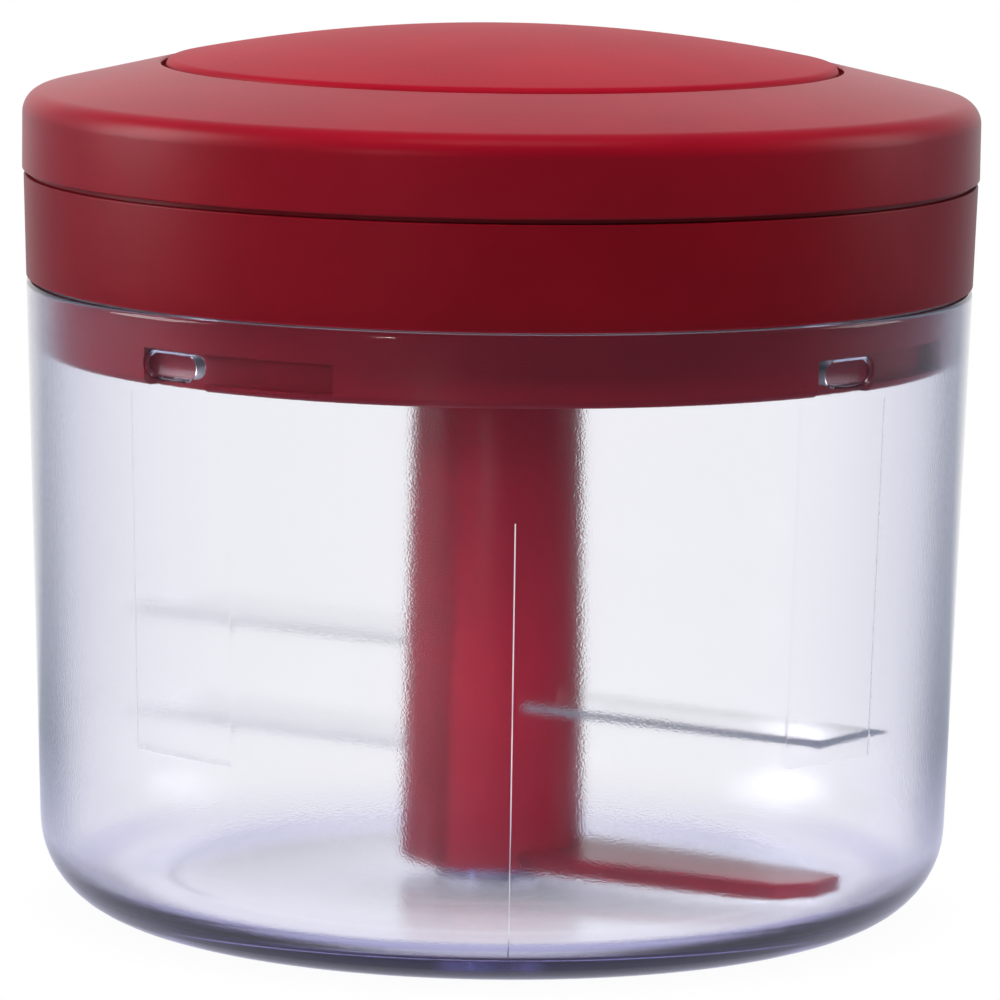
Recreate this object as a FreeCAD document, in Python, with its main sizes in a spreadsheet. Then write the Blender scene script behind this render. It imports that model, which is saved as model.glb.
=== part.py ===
# Pull-string food chopper: clear bowl, red lid with a cord drive, and a column of blades.
# Millimetres. The origin is the middle of the bowl's resting face, +Z up, the pull handle at +Y.
import FreeCAD, Part
import Sketcher
import math
import os
import re

Vector = FreeCAD.Vector
doc = FreeCAD.newDocument("food_chopper")
sheet = doc.addObject("Spreadsheet::Sheet", "dims")

# Driving dimensions, in millimetres and degrees.
SIZES = {
    # clearances
    "free_gap": 0.3,            # between pieces that move past each other
    "run_gap": 0.06,            # radial, shaft in hole
    "slip_gap": 0.1,            # between pieces that slide or are laid together
    "rooting": 1.0,             # of a tooth, dog or block into the wall that carries it
    # bowl
    "bowl_height": 83.0,
    "bowl_rim_radius": 61.9,
    "bowl_base_radius": 59.4,
    "bowl_wall": 2.4,
    "bowl_floor": 4.5,
    "bowl_foot_round": 12.0,
    "bowl_rim_bevel": 0.5,
    "foot_land": 5.4,           # flat ring that the bowl stands on
    "foot_recess_depth": 0.6,
    "pin_boss_radius": 7.0,
    "pin_boss_rise": 1.6,
    "lug_width": 8.8,
    "lug_height": 3.2,
    "lug_reach": 2.2,
    "lug_drop": 6.5,            # lug centre below the rim
    "lug_turn": 45.0,           # first lug from the +X axis
    # centre pin
    "pin_radius": 3.0,
    "pin_seat": 4.4,            # length held in the bowl's boss
    "pin_reach": 12.0,          # length above the boss
    "pin_tip_bevel": 0.8,
    # blade column
    "column_foot_radius": 12.1,
    "column_top_radius": 11.1,
    "column_top_bevel": 0.8,
    "socket_radius": 7.7,
    "socket_depth": 12.0,
    "dog_width": 2.6,
    "dog_reach": 3.2,           # socket dog, inwards from the socket's wall
    "pin_bore_spare": 1.0,
    # blades
    "blade_heading": -35.0,
    "blade_gap": 2.5,           # blade's tip inside the bowl's narrowest place
    "blade_skew": 1.2,
    "blade_width": 14.7,
    "blade_thick": 1.0,
    "blade_bevel_width": 3.2,
    "blade_bevel_depth": 0.7,
    "tang_start": 4.6,
    "tang_width": 10.0,
    "tang_shoulder": 8.5,
    "lowest_blade": 21.3,
    "blade_step": 6.95,
    # scraper paddle at the column's foot
    "paddle_gap": 6.7,
    "paddle_root_width": 16.0,
    "paddle_tip_width": 10.5,
    "paddle_thick": 2.6,
    "paddle_round": 3.6,
    # lid ring, plug and seal
    "seal_height": 1.45,
    "seal_gap": 0.1,            # each side of the seal in its groove
    "skirt_lip": 0.9,
    "ring_flare": 0.4,
    "ring_height": 13.7,        # bowl rim to the seam
    "ring_wall": 2.2,
    "seam_gap": 0.6,
    "flange_thick": 1.4,
    "plug_gap": 0.42,           # plug inside the bowl's narrowest place
    "ledge_thick": 1.0,         # under a locked lug
    "plug_wall": 4.0,
    "plug_floor": 2.2,
    "plug_bevel": 1.2,
    "channel_spare": 0.7,       # each side of a lug in its entry channel
    "lock_turn": 18.0,
    # cover and pad
    "cover_overhang": 0.2,
    "cover_side": 9.8,          # seam to the sharp corner of the shoulder
    "cover_shoulder_round": 2.3,
    "cover_slope": 13.0,
    "cover_wall": 2.2,
    "cover_skirt_wall": 1.8,
    "cover_skirt_drop": 3.0,
    "slope_width": 18.0,
    "pad_seat_depth": 1.25,
    "pad_gap": 0.6,
    "pad_edge": 1.85,
    "pad_edge_round": 1.2,
    "pad_crown": 4.3,
    # handle bay, handle and cord
    "bay_lip": 2.0,             # slope left between the pad's recess and the bay
    "bay_wall": 1.6,
    "bay_angle": 57.0,
    "bay_side_angle": 1.9,
    "handle_side_angle": 1.6,   # from the bay's side to the handle's end
    "handle_thick": 6.0,
    "handle_inset": 0.3,        # outer face inside the cover's radius
    "handle_height": 11.0,      # bottom edge below the shoulder corner
    "handle_bevel": 1.5,
    "neck_radius": 4.2,
    "cord_radius": 1.0,
    "cord_gap": 0.2,            # cord in its bores
    "cord_drop": 7.6,           # cord centre below the shoulder corner
    "cord_bend": 6.0,
    "pocket_radius": 2.8,
    "ferrule_gap": 0.2,
    "ferrule_length": 3.0,
    "plug_cap_thick": 1.3,
    "eyelet_radius": 3.2,
    "eyelet_flange_width": 1.2,
    "eyelet_flange_thick": 0.7,
    # cord spool, its spring and its mounting
    "core_radius": 20.0,
    "spool_flange_width": 6.5,
    "spool_low_flange": 2.0,
    "spool_high_flange": 1.2,
    "wrap_gap": 0.05,
    "wrap_pitch": 2.6,
    "wrap_turns": 3.0,
    "wrap_margin": 0.4,         # cord to each flange
    "anchor_width": 2.4,
    "core_wall": 2.4,
    "web_thick": 1.4,
    "spring_cover_thick": 0.8,
    "spring_play": 0.3,
    "strip_thick": 0.4,
    "strip_half_turns": 12.0,
    "arbor_radius": 4.0,
    "arbor_flange_width": 4.0,
    "arbor_flange_thick": 1.0,
    "retainer_lip": 2.6,
    "retainer_thick": 0.7,
    "screw_shank_radius": 1.25,
    "screw_head_radius": 2.9,
    "screw_head_height": 1.7,
    "screw_length": 9.0,
    "plate_thick": 2.0,
    "plate_margin": 0.5,        # plate beyond its posts
    "post_radius": 3.3,
    "post_gap": 2.8,            # spool to posts
    # ratchet and drive hub
    "ratchet_root_radius": 16.6,
    "tooth_depth": 2.0,
    "ratchet_height": 3.2,
    "pawl_inset": 3.4,          # pivot inside the teeth's tips
    "pawl_hub_radius": 2.3,
    "pawl_pin_radius": 1.2,
    "pawl_height": 2.8,
    "pawl_lag": 54.0,           # from a tooth's face to the pawl's pivot
    "pawl_tip_gap": 1.0,
    "pawl_tip_width": 2.7,
    "pawl_backlash": 1.5,       # tooth face to pawl tip at rest
    "leaf_thick": 0.35,
    "leaf_height": 2.2,
    "leaf_inset": 3.5,          # leaf's root inside the pawl's pivot
    "leaf_root_drop": 2.7,
    "leaf_block_size": 1.5,
    "disc_gap": 0.6,            # hub's disc inside the teeth's tips
    "hub_disc_thick": 2.4,
    "journal_inset": 0.7,       # journal's radius under the socket's
    "hub_core_gap": 0.6,        # hub's core to the socket's dogs
    "wing_width": 3.2,
    "wing_spare": 6.9,          # angle from the driver wing to the socket dog at rest
    "bush_wall": 2.0,
    "bush_flange_width": 2.34,
    "bush_flange_thick": 1.0,
    "boss_wall": 3.0,
}

# Heights and radii that follow from the driving dimensions.
FORMULAS = {
    "wall_lean": "((bowl_rim_radius - bowl_base_radius) / bowl_height)",
    "bowl_rim_inner": "(bowl_rim_radius - bowl_wall)",
    "bowl_base_inner": "(bowl_base_radius + bowl_floor * wall_lean - bowl_wall)",
    "bowl_narrowest": "min(bowl_base_inner; bowl_rim_inner)",
    "foot_recess_radius": "(bowl_base_radius - bowl_foot_round - foot_land)",
    "boss_top": "(bowl_floor + pin_boss_rise)",
    "lug_z": "(bowl_height - lug_drop)",
    "lug_wall_radius": "(bowl_rim_radius - lug_drop * wall_lean - bowl_wall)",
    "column_foot": "(boss_top + free_gap)",
    "column_top": "(plug_bottom - free_gap)",
    "pin_bore_radius": "(pin_radius + run_gap)",
    "pin_bore_top": "(boss_top + pin_reach + pin_bore_spare)",
    "socket_floor": "(column_top - socket_depth)",
    "blade_reach": "(bowl_narrowest - blade_gap)",
    "paddle_reach": "(bowl_narrowest - paddle_gap)",
    "ring_low_radius": "bowl_rim_radius",
    "ring_high_radius": "(ring_low_radius + ring_flare)",
    "cover_radius": "(ring_high_radius + cover_overhang)",
    "plug_depth": "(lug_drop + lug_height / 2 + free_gap + ledge_thick)",
    "plug_radius": "(bowl_rim_inner - plug_depth * max(wall_lean; 0) - plug_gap)",
    "channel_floor": "(lug_wall_radius - lug_reach - free_gap)",
    "seal_bottom": "(bowl_height + slip_gap)",
    "seal_top": "(seal_bottom + seal_height)",
    "flange_bottom": "(seal_top + slip_gap)",
    "flange_top": "(flange_bottom + flange_thick)",
    "skirt_bottom": "(bowl_height + free_gap)",
    "plug_bottom": "(bowl_height - plug_depth)",
    "floor_top": "(plug_bottom + plug_floor)",
    "seam_low": "(bowl_height + ring_height)",
    "seam_high": "(seam_low + seam_gap)",
    "ring_inner": "(ring_high_radius - ring_wall)",
    "groove_outer": "(ring_low_radius - skirt_lip)",
    "seal_inner": "(plug_radius + seal_gap)",
    "seal_outer": "(groove_outer - seal_gap)",
    "corner_z": "(seam_high + cover_side)",
    "shoulder_run": "(cover_shoulder_round * tan((90 - cover_slope) / 2 * 1 deg))",
    "shoulder_low": "(corner_z - shoulder_run)",
    "cover_lip_radius": "(cover_radius - slope_width)",
    "lip_z": "(corner_z + (cover_radius - cover_lip_radius) * tan(cover_slope * 1 deg))",
    "pad_seat": "(lip_z - pad_seat_depth)",
    "pad_radius": "(cover_lip_radius - pad_gap)",
    "pad_edge_z": "(pad_seat + pad_edge)",
    "ceiling": "(pad_seat - cover_wall)",
    "cord_z": "(corner_z - cord_drop)",
    "cord_bore_radius": "(cord_radius + cord_gap)",
    "handle_outer": "(cover_radius - handle_inset)",
    "handle_inner": "(handle_outer - handle_thick)",
    "handle_angle": "(bay_angle - 2 * bay_side_angle - 2 * handle_side_angle)",
    "bay_inner_radius": "(cover_lip_radius + bay_lip)",
    "bay_floor_inner": "(bay_inner_radius + bay_wall)",
    "eyelet_flange_radius": "(eyelet_radius + eyelet_flange_width)",
    "eyelet_face": "(bay_floor_inner + eyelet_flange_thick)",
    "neck_face": "(eyelet_face + free_gap)",
    "pocket_floor": "(handle_outer - plug_cap_thick - ferrule_length)",
    "ferrule_radius": "(pocket_radius - ferrule_gap)",
    "spool_flange_radius": "(core_radius + spool_flange_width)",
    "spring_cavity_radius": "(core_radius - core_wall)",
    "post_ring_radius": "(spool_flange_radius + post_gap + post_radius)",
    "plate_radius": "(post_ring_radius + post_radius + plate_margin)",
    "arbor_flange_radius": "(arbor_radius + arbor_flange_width)",
    "retainer_radius": "(arbor_radius + retainer_lip)",
    "wrap_radius": "(core_radius + wrap_gap + cord_radius)",
    "wrap_low": "(cord_z - wrap_pitch * wrap_turns)",
    "groove_low": "(wrap_low - cord_radius - wrap_margin)",
    "groove_high": "(cord_z + cord_radius + wrap_margin)",
    "spool_bottom": "(groove_low - spool_low_flange)",
    "spool_top": "(groove_high + spool_high_flange)",
    "web_bottom": "(spool_bottom + ratchet_height)",
    "web_top": "(web_bottom + web_thick)",
    "cover_disc_bottom": "(spool_top - spring_cover_thick)",
    "plate_bottom": "(spool_top + free_gap)",
    "plate_top": "(plate_bottom + plate_thick)",
    "retainer_top": "(web_bottom - slip_gap)",
    "retainer_bottom": "(retainer_top - retainer_thick)",
    "hub_top": "(spool_bottom - free_gap)",
    "hub_disc_bottom": "(hub_top - hub_disc_thick)",
    "pawl_bottom": "(hub_top + slip_gap)",
    "journal_radius": "(socket_radius - journal_inset)",
    "dog_inner": "(socket_radius - dog_reach)",
    "hub_core_radius": "(dog_inner - hub_core_gap)",
    "wing_lag": "((asin(dog_width / 2 / dog_inner) + asin(wing_width / 2 / dog_inner)) / 1 deg + wing_spare)",
    "bush_radius": "(journal_radius + run_gap + bush_wall)",
    "bush_flange_radius": "(bush_radius + bush_flange_width)",
    "bush_top": "(hub_disc_bottom - slip_gap)",
    "boss_top_z": "(bush_top - bush_flange_thick)",
    "ratchet_tip_radius": "(ratchet_root_radius - tooth_depth)",
    "hub_disc_radius": "(ratchet_tip_radius - disc_gap)",
    "pawl_pivot_radius": "(ratchet_tip_radius - pawl_inset)",
    "pawl_tip_radius": "(ratchet_root_radius - pawl_tip_gap)",
    "leaf_root_radius": "(pawl_pivot_radius - leaf_inset)",
    "bend_point": "(bay_inner_radius - cord_bend / 3)",
    "leave_angle": "(asin(wrap_radius / bend_point) / 1 deg)",
    "strip_start": "(arbor_radius + strip_thick / 2)",
    "strip_end": "(spring_cavity_radius - spring_play - strip_thick / 2)",
    "spring_low": "(web_top + spring_play)",
    "spring_height": "(cover_disc_bottom - spring_play - spring_low)",
    "screw_foot": "(plate_top - screw_length)",
    "wing_bottom": "(socket_floor + free_gap)",
}
FUNCTIONS = {"sin", "cos", "tan", "asin", "min", "max", "deg", "pi"}
NEAR = 1e-4     # two places this close count as one


def expand(text):
    """A formula with every derived name written out, down to the sheet's own cells."""
    def name(match):
        word = match.group()
        if word in FORMULAS:
            return expand(FORMULAS[word])
        if word in SIZES:
            return "dims." + word
        if word in FUNCTIONS:
            return word
        raise KeyError(word)
    return re.sub(r"[a-z]+(?:_[a-z]+)*", name, str(text))


for row, (alias, size) in enumerate(SIZES.items(), 1):
    sheet.set(f"A{row}", alias)
    sheet.set(f"B{row}", str(size))
    sheet.setAlias(f"B{row}", alias)
doc.recompute()


def number(text):
    """The present value of a formula."""
    found = sheet.evalExpression(expand(text))
    return float(getattr(found, "Value", found))


def bind(thing, prop, text):
    """Ties one property of an object to a formula of the sheet's cells."""
    thing.setExpression(prop, expand(text))


def new_body(name, z=None):
    """An empty body, lifted to a height where one is given."""
    body = doc.addObject("PartDesign::Body", name)
    if z is not None:
        bind(body, "Placement.Base.z", z)
    return body


def new_sketch(body, role, name, lift=None):
    """A sketch on one of the body's own origin planes, lifted along its normal by a formula."""
    sketch = body.newObject("Sketcher::SketchObject", name)
    plane = [o for o in body.Origin.OriginFeatures if o.Role == role][0]
    sketch.AttachmentSupport = [(plane, "")]
    sketch.MapMode = "FlatFace"
    if lift is not None:
        bind(sketch, "AttachmentOffset.Base.z", lift)
    return sketch


def pin_vertex(sketch, geometry, end, x, y):
    """Holds one vertex of a sketch at formulas for its two coordinates, or for one of them."""
    for kind, axis, text in (("DistanceX", -2, x), ("DistanceY", -1, y)):
        if text is None:
            continue
        if text == "0":
            sketch.addConstraint(Sketcher.Constraint("PointOnObject", geometry, end, axis))
            continue
        index = sketch.addConstraint(
            Sketcher.Constraint(kind, -1, 1, geometry, end, number(text)))
        sketch.setExpression(f"Constraints[{index}]", expand(text))


def outline(sketch, points):
    """A closed outline of straight runs. A third item starts an arc: its centre's height, or "axis" for
    a centre on the upright axis."""
    count = len(points)
    spots = [Vector(number(p[0]), number(p[1]), 0) for p in points]
    for i, point in enumerate(points):
        a, b = spots[i], spots[(i + 1) % count]
        if len(point) == 3:
            spread = (b.dot(b) - a.dot(a)) / 2      # what the centre's products with b - a add up to
            if point[2] == "axis":
                centre = Vector(0, spread / (b.y - a.y), 0)
            else:
                height = number(point[2])
                centre = Vector((spread - height * (b.y - a.y)) / (b.x - a.x), height, 0)
            turn = [math.atan2(s.y - centre.y, s.x - centre.x) for s in (a, b)]
            circle = Part.Circle(centre, Vector(0, 0, 1), (a - centre).Length)
            sketch.addGeometry(Part.ArcOfCircle(circle, *turn))
        else:
            sketch.addGeometry(Part.LineSegment(a, b))
    for i, point in enumerate(points):
        after = (i + 1) % count
        sketch.addConstraint(Sketcher.Constraint("Coincident", i, 2, after, 1))
        pin_vertex(sketch, i, 1, point[0], point[1])
        if len(point) == 3 and point[2] == "axis":
            sketch.addConstraint(Sketcher.Constraint("PointOnObject", i, 3, -2))
        elif len(point) == 3:
            pin_vertex(sketch, i, 3, None, point[2])
    return sketch


def revolve(body, name, points, angle=None, plane="XZ_Plane", axis="V_Axis"):
    """A closed profile of radius and height turned about an axis of its sketch."""
    sketch = outline(new_sketch(body, plane, name + "_profile"), points)
    turned = body.newObject("PartDesign::Revolution", name)
    turned.Profile = sketch
    turned.ReferenceAxis = (sketch, [axis])
    turned.Angle = 360
    if angle is not None:
        turned.Midplane = True
        bind(turned, "Angle", angle)
    return turned


def pad(body, name, points, height, lift=None, plane="XY_Plane"):
    """A closed outline given a height."""
    sketch = outline(new_sketch(body, plane, name + "_outline", lift), points)
    feature = body.newObject("PartDesign::Pad", name)
    feature.Profile = sketch
    bind(feature, "Length", height)
    return feature


def repeat(body, feature, name, count, turn=360):
    """Copies of a feature turned evenly about the vertical axis."""
    pattern = body.newObject("PartDesign::PolarPattern", name)
    pattern.Originals = [feature]
    z_axis = [o for o in body.Origin.OriginFeatures if o.Role == "Z_Axis"][0]
    pattern.Axis = (z_axis, [""])
    pattern.Angle = turn
    pattern.Occurrences = count
    body.Tip = pattern
    return pattern


def ring_edges(shape, wanted):
    """Names of the circular edges at the given radii and heights."""
    names = []
    for radius, height in wanted:
        for i, edge in enumerate(shape.Edges, 1):
            if edge.Degenerated or not isinstance(edge.Curve, Part.Circle):
                continue
            off = (edge.Curve.Radius - number(radius), edge.Curve.Center.z - number(height))
            if max(map(abs, off)) < NEAR and abs(abs(edge.Curve.Axis.z) - 1) < NEAR:
                names.append(f"Edge{i}")
    return names


def dress(body, kind, name, base, edges, size):
    """A fillet or chamfer of one size on named edges of the feature before it."""
    feature = body.newObject("PartDesign::" + kind, name)
    feature.Base = (base, edges)
    bind(feature, "Radius" if kind == "Fillet" else "Size", size)
    return feature


def dress_rings(body, kind, name, base, wanted, size):
    """A fillet or chamfer on circular edges, found by radius and height."""
    doc.recompute()
    return dress(body, kind, name, base, ring_edges(base.Shape, wanted), size)


def cylinder(name, radius, height, z="0", x="0", y="0", along="z"):
    """A plain cylinder that starts at a point and runs along +Z, or along +Y."""
    solid = doc.addObject("Part::Cylinder", name)
    if along == "y":
        solid.Placement = FreeCAD.Placement(Vector(), FreeCAD.Rotation(Vector(1, 0, 0), -90))
    bind(solid, "Radius", radius)
    bind(solid, "Height", height)
    for letter, text in (("x", x), ("y", y), ("z", z)):
        bind(solid, "Placement.Base." + letter, text)
    return solid


def cut(name, base, tool):
    """One solid with another taken out of it."""
    result = doc.addObject("Part::Cut", name)
    result.Base, result.Tool = base, tool
    return result


def fuse(name, *shapes):
    """Several solids joined into one."""
    result = doc.addObject("Part::MultiFuse", name)
    result.Shapes = list(shapes)
    return result


def common(name, base, tool):
    """What two solids share."""
    result = doc.addObject("Part::Common", name)
    result.Base, result.Tool = base, tool
    return result


def group(name, shapes):
    """Separate solids kept as one node."""
    result = doc.addObject("Part::Compound", name)
    result.Links = list(shapes)
    return result


def turn_about_z(thing, degrees):
    """Turns an object about the vertical axis by a formula in degrees."""
    bind(thing, "Placement.Rotation.Angle", degrees)
    return thing


# The lid's outer form, which trims the handle and the bay that it sits in.
LID_TOP = [
    ("cover_radius", "shoulder_low", "shoulder_low"),
    ("cover_radius - shoulder_run * cos(cover_slope * 1 deg)",
     "corner_z + shoulder_run * sin(cover_slope * 1 deg)"),
    ("cover_lip_radius", "lip_z"),
]


def lid_form(name):
    """A solid of the cover's outer surface, carried straight down."""
    body = new_body(name)
    revolve(body, name + "_solid", [
        ("0", "plug_bottom"), ("cover_radius", "plug_bottom"), *LID_TOP, ("0", "lip_z")])
    return body


def sector(name, low_radius, high_radius, bottom, top, angle):
    """A ring segment centred on the +Y axis."""
    body = new_body(name)
    revolve(body, name + "_solid", [
        (low_radius, bottom), (high_radius, bottom), (high_radius, top), (low_radius, top)],
        angle, "YZ_Plane")
    return body


# Counts of pieces that stand in a ring.
LUGS = 4
POSTS = 3
TEETH = 12
SIDES = 2


# Bowl with its pin boss, foot recess and bayonet lugs.
def make_bowl():
    body = new_body("bowl_body")
    solid = revolve(body, "bowl_form", [
        ("0", "foot_recess_depth"), ("foot_recess_radius", "foot_recess_depth"), ("foot_recess_radius", "0"),
        ("bowl_base_radius", "0"), ("bowl_rim_radius", "bowl_height"), ("bowl_rim_inner", "bowl_height"),
        ("bowl_base_inner", "bowl_floor"), ("pin_boss_radius", "bowl_floor"), ("pin_boss_radius", "boss_top"),
        ("pin_radius", "boss_top"), ("pin_radius", "boss_top - pin_seat"), ("0", "boss_top - pin_seat")])
    foot = dress_rings(body, "Fillet", "bowl_foot", solid, [("bowl_base_radius", "0")], "bowl_foot_round")
    inside = dress_rings(body, "Fillet", "bowl_inner_corner", foot, [("bowl_base_inner", "bowl_floor")],
                         "bowl_foot_round - bowl_wall")
    dress_rings(body, "Chamfer", "bowl_rim", inside, [("bowl_rim_radius", "bowl_height")], "bowl_rim_bevel")
    lug_body = new_body("lug_body")
    sketch = new_sketch(lug_body, "YZ_Plane", "lug_outline", "lug_wall_radius - lug_reach")
    half, rise = "(lug_width / 2 - lug_height / 2)", "lug_height / 2"
    mid, round_end = number("lug_z"), number(rise)
    corners = []
    for side in (1, -1):
        centre = Vector(side * number(half), mid, 0)
        circle = Part.Circle(centre, Vector(0, 0, 1), round_end)
        start = -side * math.pi / 2
        sketch.addGeometry(Part.ArcOfCircle(circle, start, start + math.pi))
        corners += [centre - Vector(0, side * round_end, 0), centre + Vector(0, side * round_end, 0)]
    sketch.addGeometry(Part.LineSegment(corners[1], corners[2]))
    sketch.addGeometry(Part.LineSegment(corners[3], corners[0]))
    for first, second in ((0, 2), (2, 1), (1, 3), (3, 0)):
        sketch.addConstraint(Sketcher.Constraint("Coincident", first, 2, second, 1))
    for arc, across, down in ((0, half, "-"), (1, "-" + half, "+")):
        pin_vertex(sketch, arc, 3, across, "lug_z")
        pin_vertex(sketch, arc, 1, across, f"lug_z {down} {rise}")
        pin_vertex(sketch, arc, 2, across, None)
    lug = lug_body.newObject("PartDesign::Pad", "lug_form")
    lug.Profile = sketch
    bind(lug, "Length", "lug_reach + bowl_wall / 2")
    repeat(lug_body, lug, "lug_ring", LUGS)
    turn_about_z(lug_body, "lug_turn")
    return fuse("bowl", body, lug_body)


bowl = make_bowl()


# Steel pin pressed into the bowl's boss, on which the column turns.
def make_pin():
    body = new_body("centre_pin")
    tip = "boss_top + pin_reach"
    revolve(body, "pin_form", [
        ("0", "boss_top - pin_seat"), ("pin_radius", "boss_top - pin_seat"),
        ("pin_radius", tip + " - pin_tip_bevel"),
        ("pin_radius - pin_tip_bevel", tip), ("0", tip)])
    return body


centre_pin = make_pin()


# One steel blade, flat, ground on its leading edge, with a narrower tang held in the column.
def make_blade(name, level, side):
    body = new_body(name)
    half, tang = "blade_width / 2", "tang_width / 2"
    flat = pad(body, name + "_plan", [
        ("tang_start", "-" + tang), ("tang_shoulder", "-" + tang), ("tang_shoulder", "-" + half),
        ("blade_reach - blade_skew", "-" + half), ("blade_reach", half), ("tang_shoulder", half),
        ("tang_shoulder", tang), ("tang_start", tang)], "blade_thick", f"{level} - blade_thick / 2")
    doc.recompute()
    top = number(f"{level} + blade_thick / 2")
    edges = []
    for i, edge in enumerate(flat.Shape.Edges, 1):
        middle = edge.CenterOfMass
        if abs(middle.y - number(half)) < NEAR and abs(middle.z - top) < NEAR:
            edges.append(f"Edge{i}")
    ground = dress(body, "Chamfer", name + "_bevel", flat, edges, "blade_bevel_depth")
    ground.ChamferType = "Two distances"
    bind(ground, "Size2", "blade_bevel_width")
    return turn_about_z(body, f"blade_heading + {side}")


blade_lower = make_blade("blade_lower", "lowest_blade", "180")
blade_middle = make_blade("blade_middle", "(lowest_blade + blade_step)", "0")
blade_upper = make_blade("blade_upper", "(lowest_blade + 2 * blade_step)", "180")


# Moulded column: pin bore below, driven socket above, scraper paddle at its foot.
def make_column():
    body = new_body("column_form")
    solid = revolve(body, "column_turned", [
        ("pin_bore_radius", "column_foot"), ("column_foot_radius", "column_foot"),
        ("column_top_radius", "column_top"), ("socket_radius", "column_top"),
        ("socket_radius", "socket_floor"), ("0", "socket_floor"), ("0", "pin_bore_top"),
        ("pin_bore_radius", "pin_bore_top")])
    top_edge = [("column_top_radius", "column_top")]
    dress_rings(body, "Chamfer", "column_edge", solid, top_edge, "column_top_bevel")
    dog = pad(body, "socket_dog", [
        ("dog_inner", "-dog_width / 2"), ("socket_radius + rooting", "-dog_width / 2"),
        ("socket_radius + rooting", "dog_width / 2"), ("dog_inner", "dog_width / 2")],
        "socket_depth - column_top_bevel", "socket_floor")
    repeat(body, dog, "socket_dogs", SIDES)
    turn_about_z(body, "blade_heading")
    paddle = new_body("paddle_form")
    blade = pad(paddle, "paddle_plan", [
        ("0", "-paddle_root_width / 2"), ("paddle_reach - paddle_round", "-paddle_tip_width / 2"),
        ("paddle_reach", "-paddle_tip_width / 2 + paddle_round"), ("paddle_reach", "paddle_tip_width / 2"),
        ("0", "paddle_root_width / 2")], "paddle_thick", "column_foot")
    doc.recompute()
    corners = []
    for i, edge in enumerate(blade.Shape.Edges, 1):
        upright = abs(edge.BoundBox.ZLength - number("paddle_thick")) < NEAR
        if upright and edge.CenterOfMass.x > number("paddle_reach / 2"):
            corners.append(f"Edge{i}")
    dress(paddle, "Fillet", "paddle_tip", blade, corners, "paddle_round / 2")
    turn_about_z(paddle, "blade_heading")
    bore = cylinder("paddle_bore", "pin_bore_radius", "paddle_thick * 2", "column_foot - paddle_thick / 2")
    paddle_cut = cut("paddle_ring", paddle, bore)
    blades = fuse("blade_slots", blade_lower, blade_middle, blade_upper)
    return cut("blade_column", fuse("column_and_paddle", body, paddle_cut), blades)


blade_column = make_column()


# Soft ring between the bowl's rim and the lid.
def make_seal():
    body = new_body("lid_seal")
    revolve(body, "seal_form", [
        ("seal_inner", "seal_bottom"), ("seal_outer", "seal_bottom"), ("seal_outer", "seal_top"),
        ("seal_inner", "seal_top")])
    return body


lid_seal = make_seal()


# Lid base: outer ring, flange, plug with its bayonet channels, floor, boss and posts.
def make_lid_base():
    body = new_body("lid_base_form")
    solid = revolve(body, "lid_base_turned", [
        ("bush_radius", "plug_bottom"), ("plug_radius", "plug_bottom"), ("plug_radius", "flange_bottom"),
        ("groove_outer", "flange_bottom"), ("groove_outer", "skirt_bottom"),
        ("ring_low_radius", "skirt_bottom"),
        ("ring_high_radius", "seam_low"), ("ring_inner", "seam_low"), ("ring_inner", "flange_top"),
        ("plug_radius - plug_wall", "flange_top"), ("plug_radius - plug_wall", "floor_top"),
        ("bush_radius + boss_wall", "floor_top"), ("bush_radius + boss_wall", "boss_top_z"),
        ("bush_radius", "boss_top_z")])
    dress_rings(body, "Chamfer", "plug_edge", solid, [("plug_radius", "plug_bottom")], "plug_bevel")
    posts = post_ring("post", "post_radius", "plate_bottom - floor_top", "floor_top")
    joined = fuse("lid_base_posts", body, *posts)
    channels = [channel(i) for i in range(LUGS)]
    opened = cut("lid_base_channels", joined, fuse("channels", *channels))
    holes = post_ring("post_hole", "screw_shank_radius", "screw_length", "screw_foot - free_gap")
    drilled = cut("lid_base_drilled", opened, fuse("post_holes", *holes))
    notch = sector("base_notch", "bay_inner_radius", "cover_radius + bay_wall", "flange_top",
                   "corner_z + cover_side", "bay_angle")
    return cut("lid_base", drilled, notch)


def post_at(name, radius, height, z):
    """A round post on the post circle, as a body that can be turned about the middle."""
    body = new_body(name)
    sketch = new_sketch(body, "XY_Plane", name + "_circle", z)
    sketch.addGeometry(Part.Circle(Vector(number("post_ring_radius"), 0, 0), Vector(0, 0, 1), number(radius)))
    pin_vertex(sketch, 0, 3, "post_ring_radius", "0")
    index = sketch.addConstraint(Sketcher.Constraint("Radius", 0, number(radius)))
    sketch.setExpression(f"Constraints[{index}]", expand(radius))
    feature = body.newObject("PartDesign::Pad", name + "_solid")
    feature.Profile = sketch
    bind(feature, "Length", height)
    return body


def post_ring(name, radius, height, z):
    """Round posts on the post circle, the first at the front."""
    posts = [post_at(f"{name}_{i}", radius, height, z) for i in range(POSTS)]
    return [turn_about_z(post, f"{i} * 360 / {POSTS} - 90") for i, post in enumerate(posts)]


def channel(index):
    """One bayonet channel in the plug: an upright entry, and a level run above a ledge."""
    half = "((lug_width / 2 + channel_spare) / plug_radius * 180 / pi)"
    top = "lug_z + lug_height / 2 + free_gap"
    ledge = "lug_z - lug_height / 2 - free_gap"
    entry = ring_piece(f"channel_entry_{index}", "plug_bottom - free_gap", top, f"2 * {half}")
    heading = f"lug_turn + {index} * 360 / {LUGS}"
    turn_about_z(entry, heading)
    run = ring_piece(f"channel_run_{index}", ledge, top, f"2 * {half} + lock_turn")
    turn_about_z(run, heading + " + lock_turn / 2")
    return fuse(f"channel_{index}", entry, run)


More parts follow.
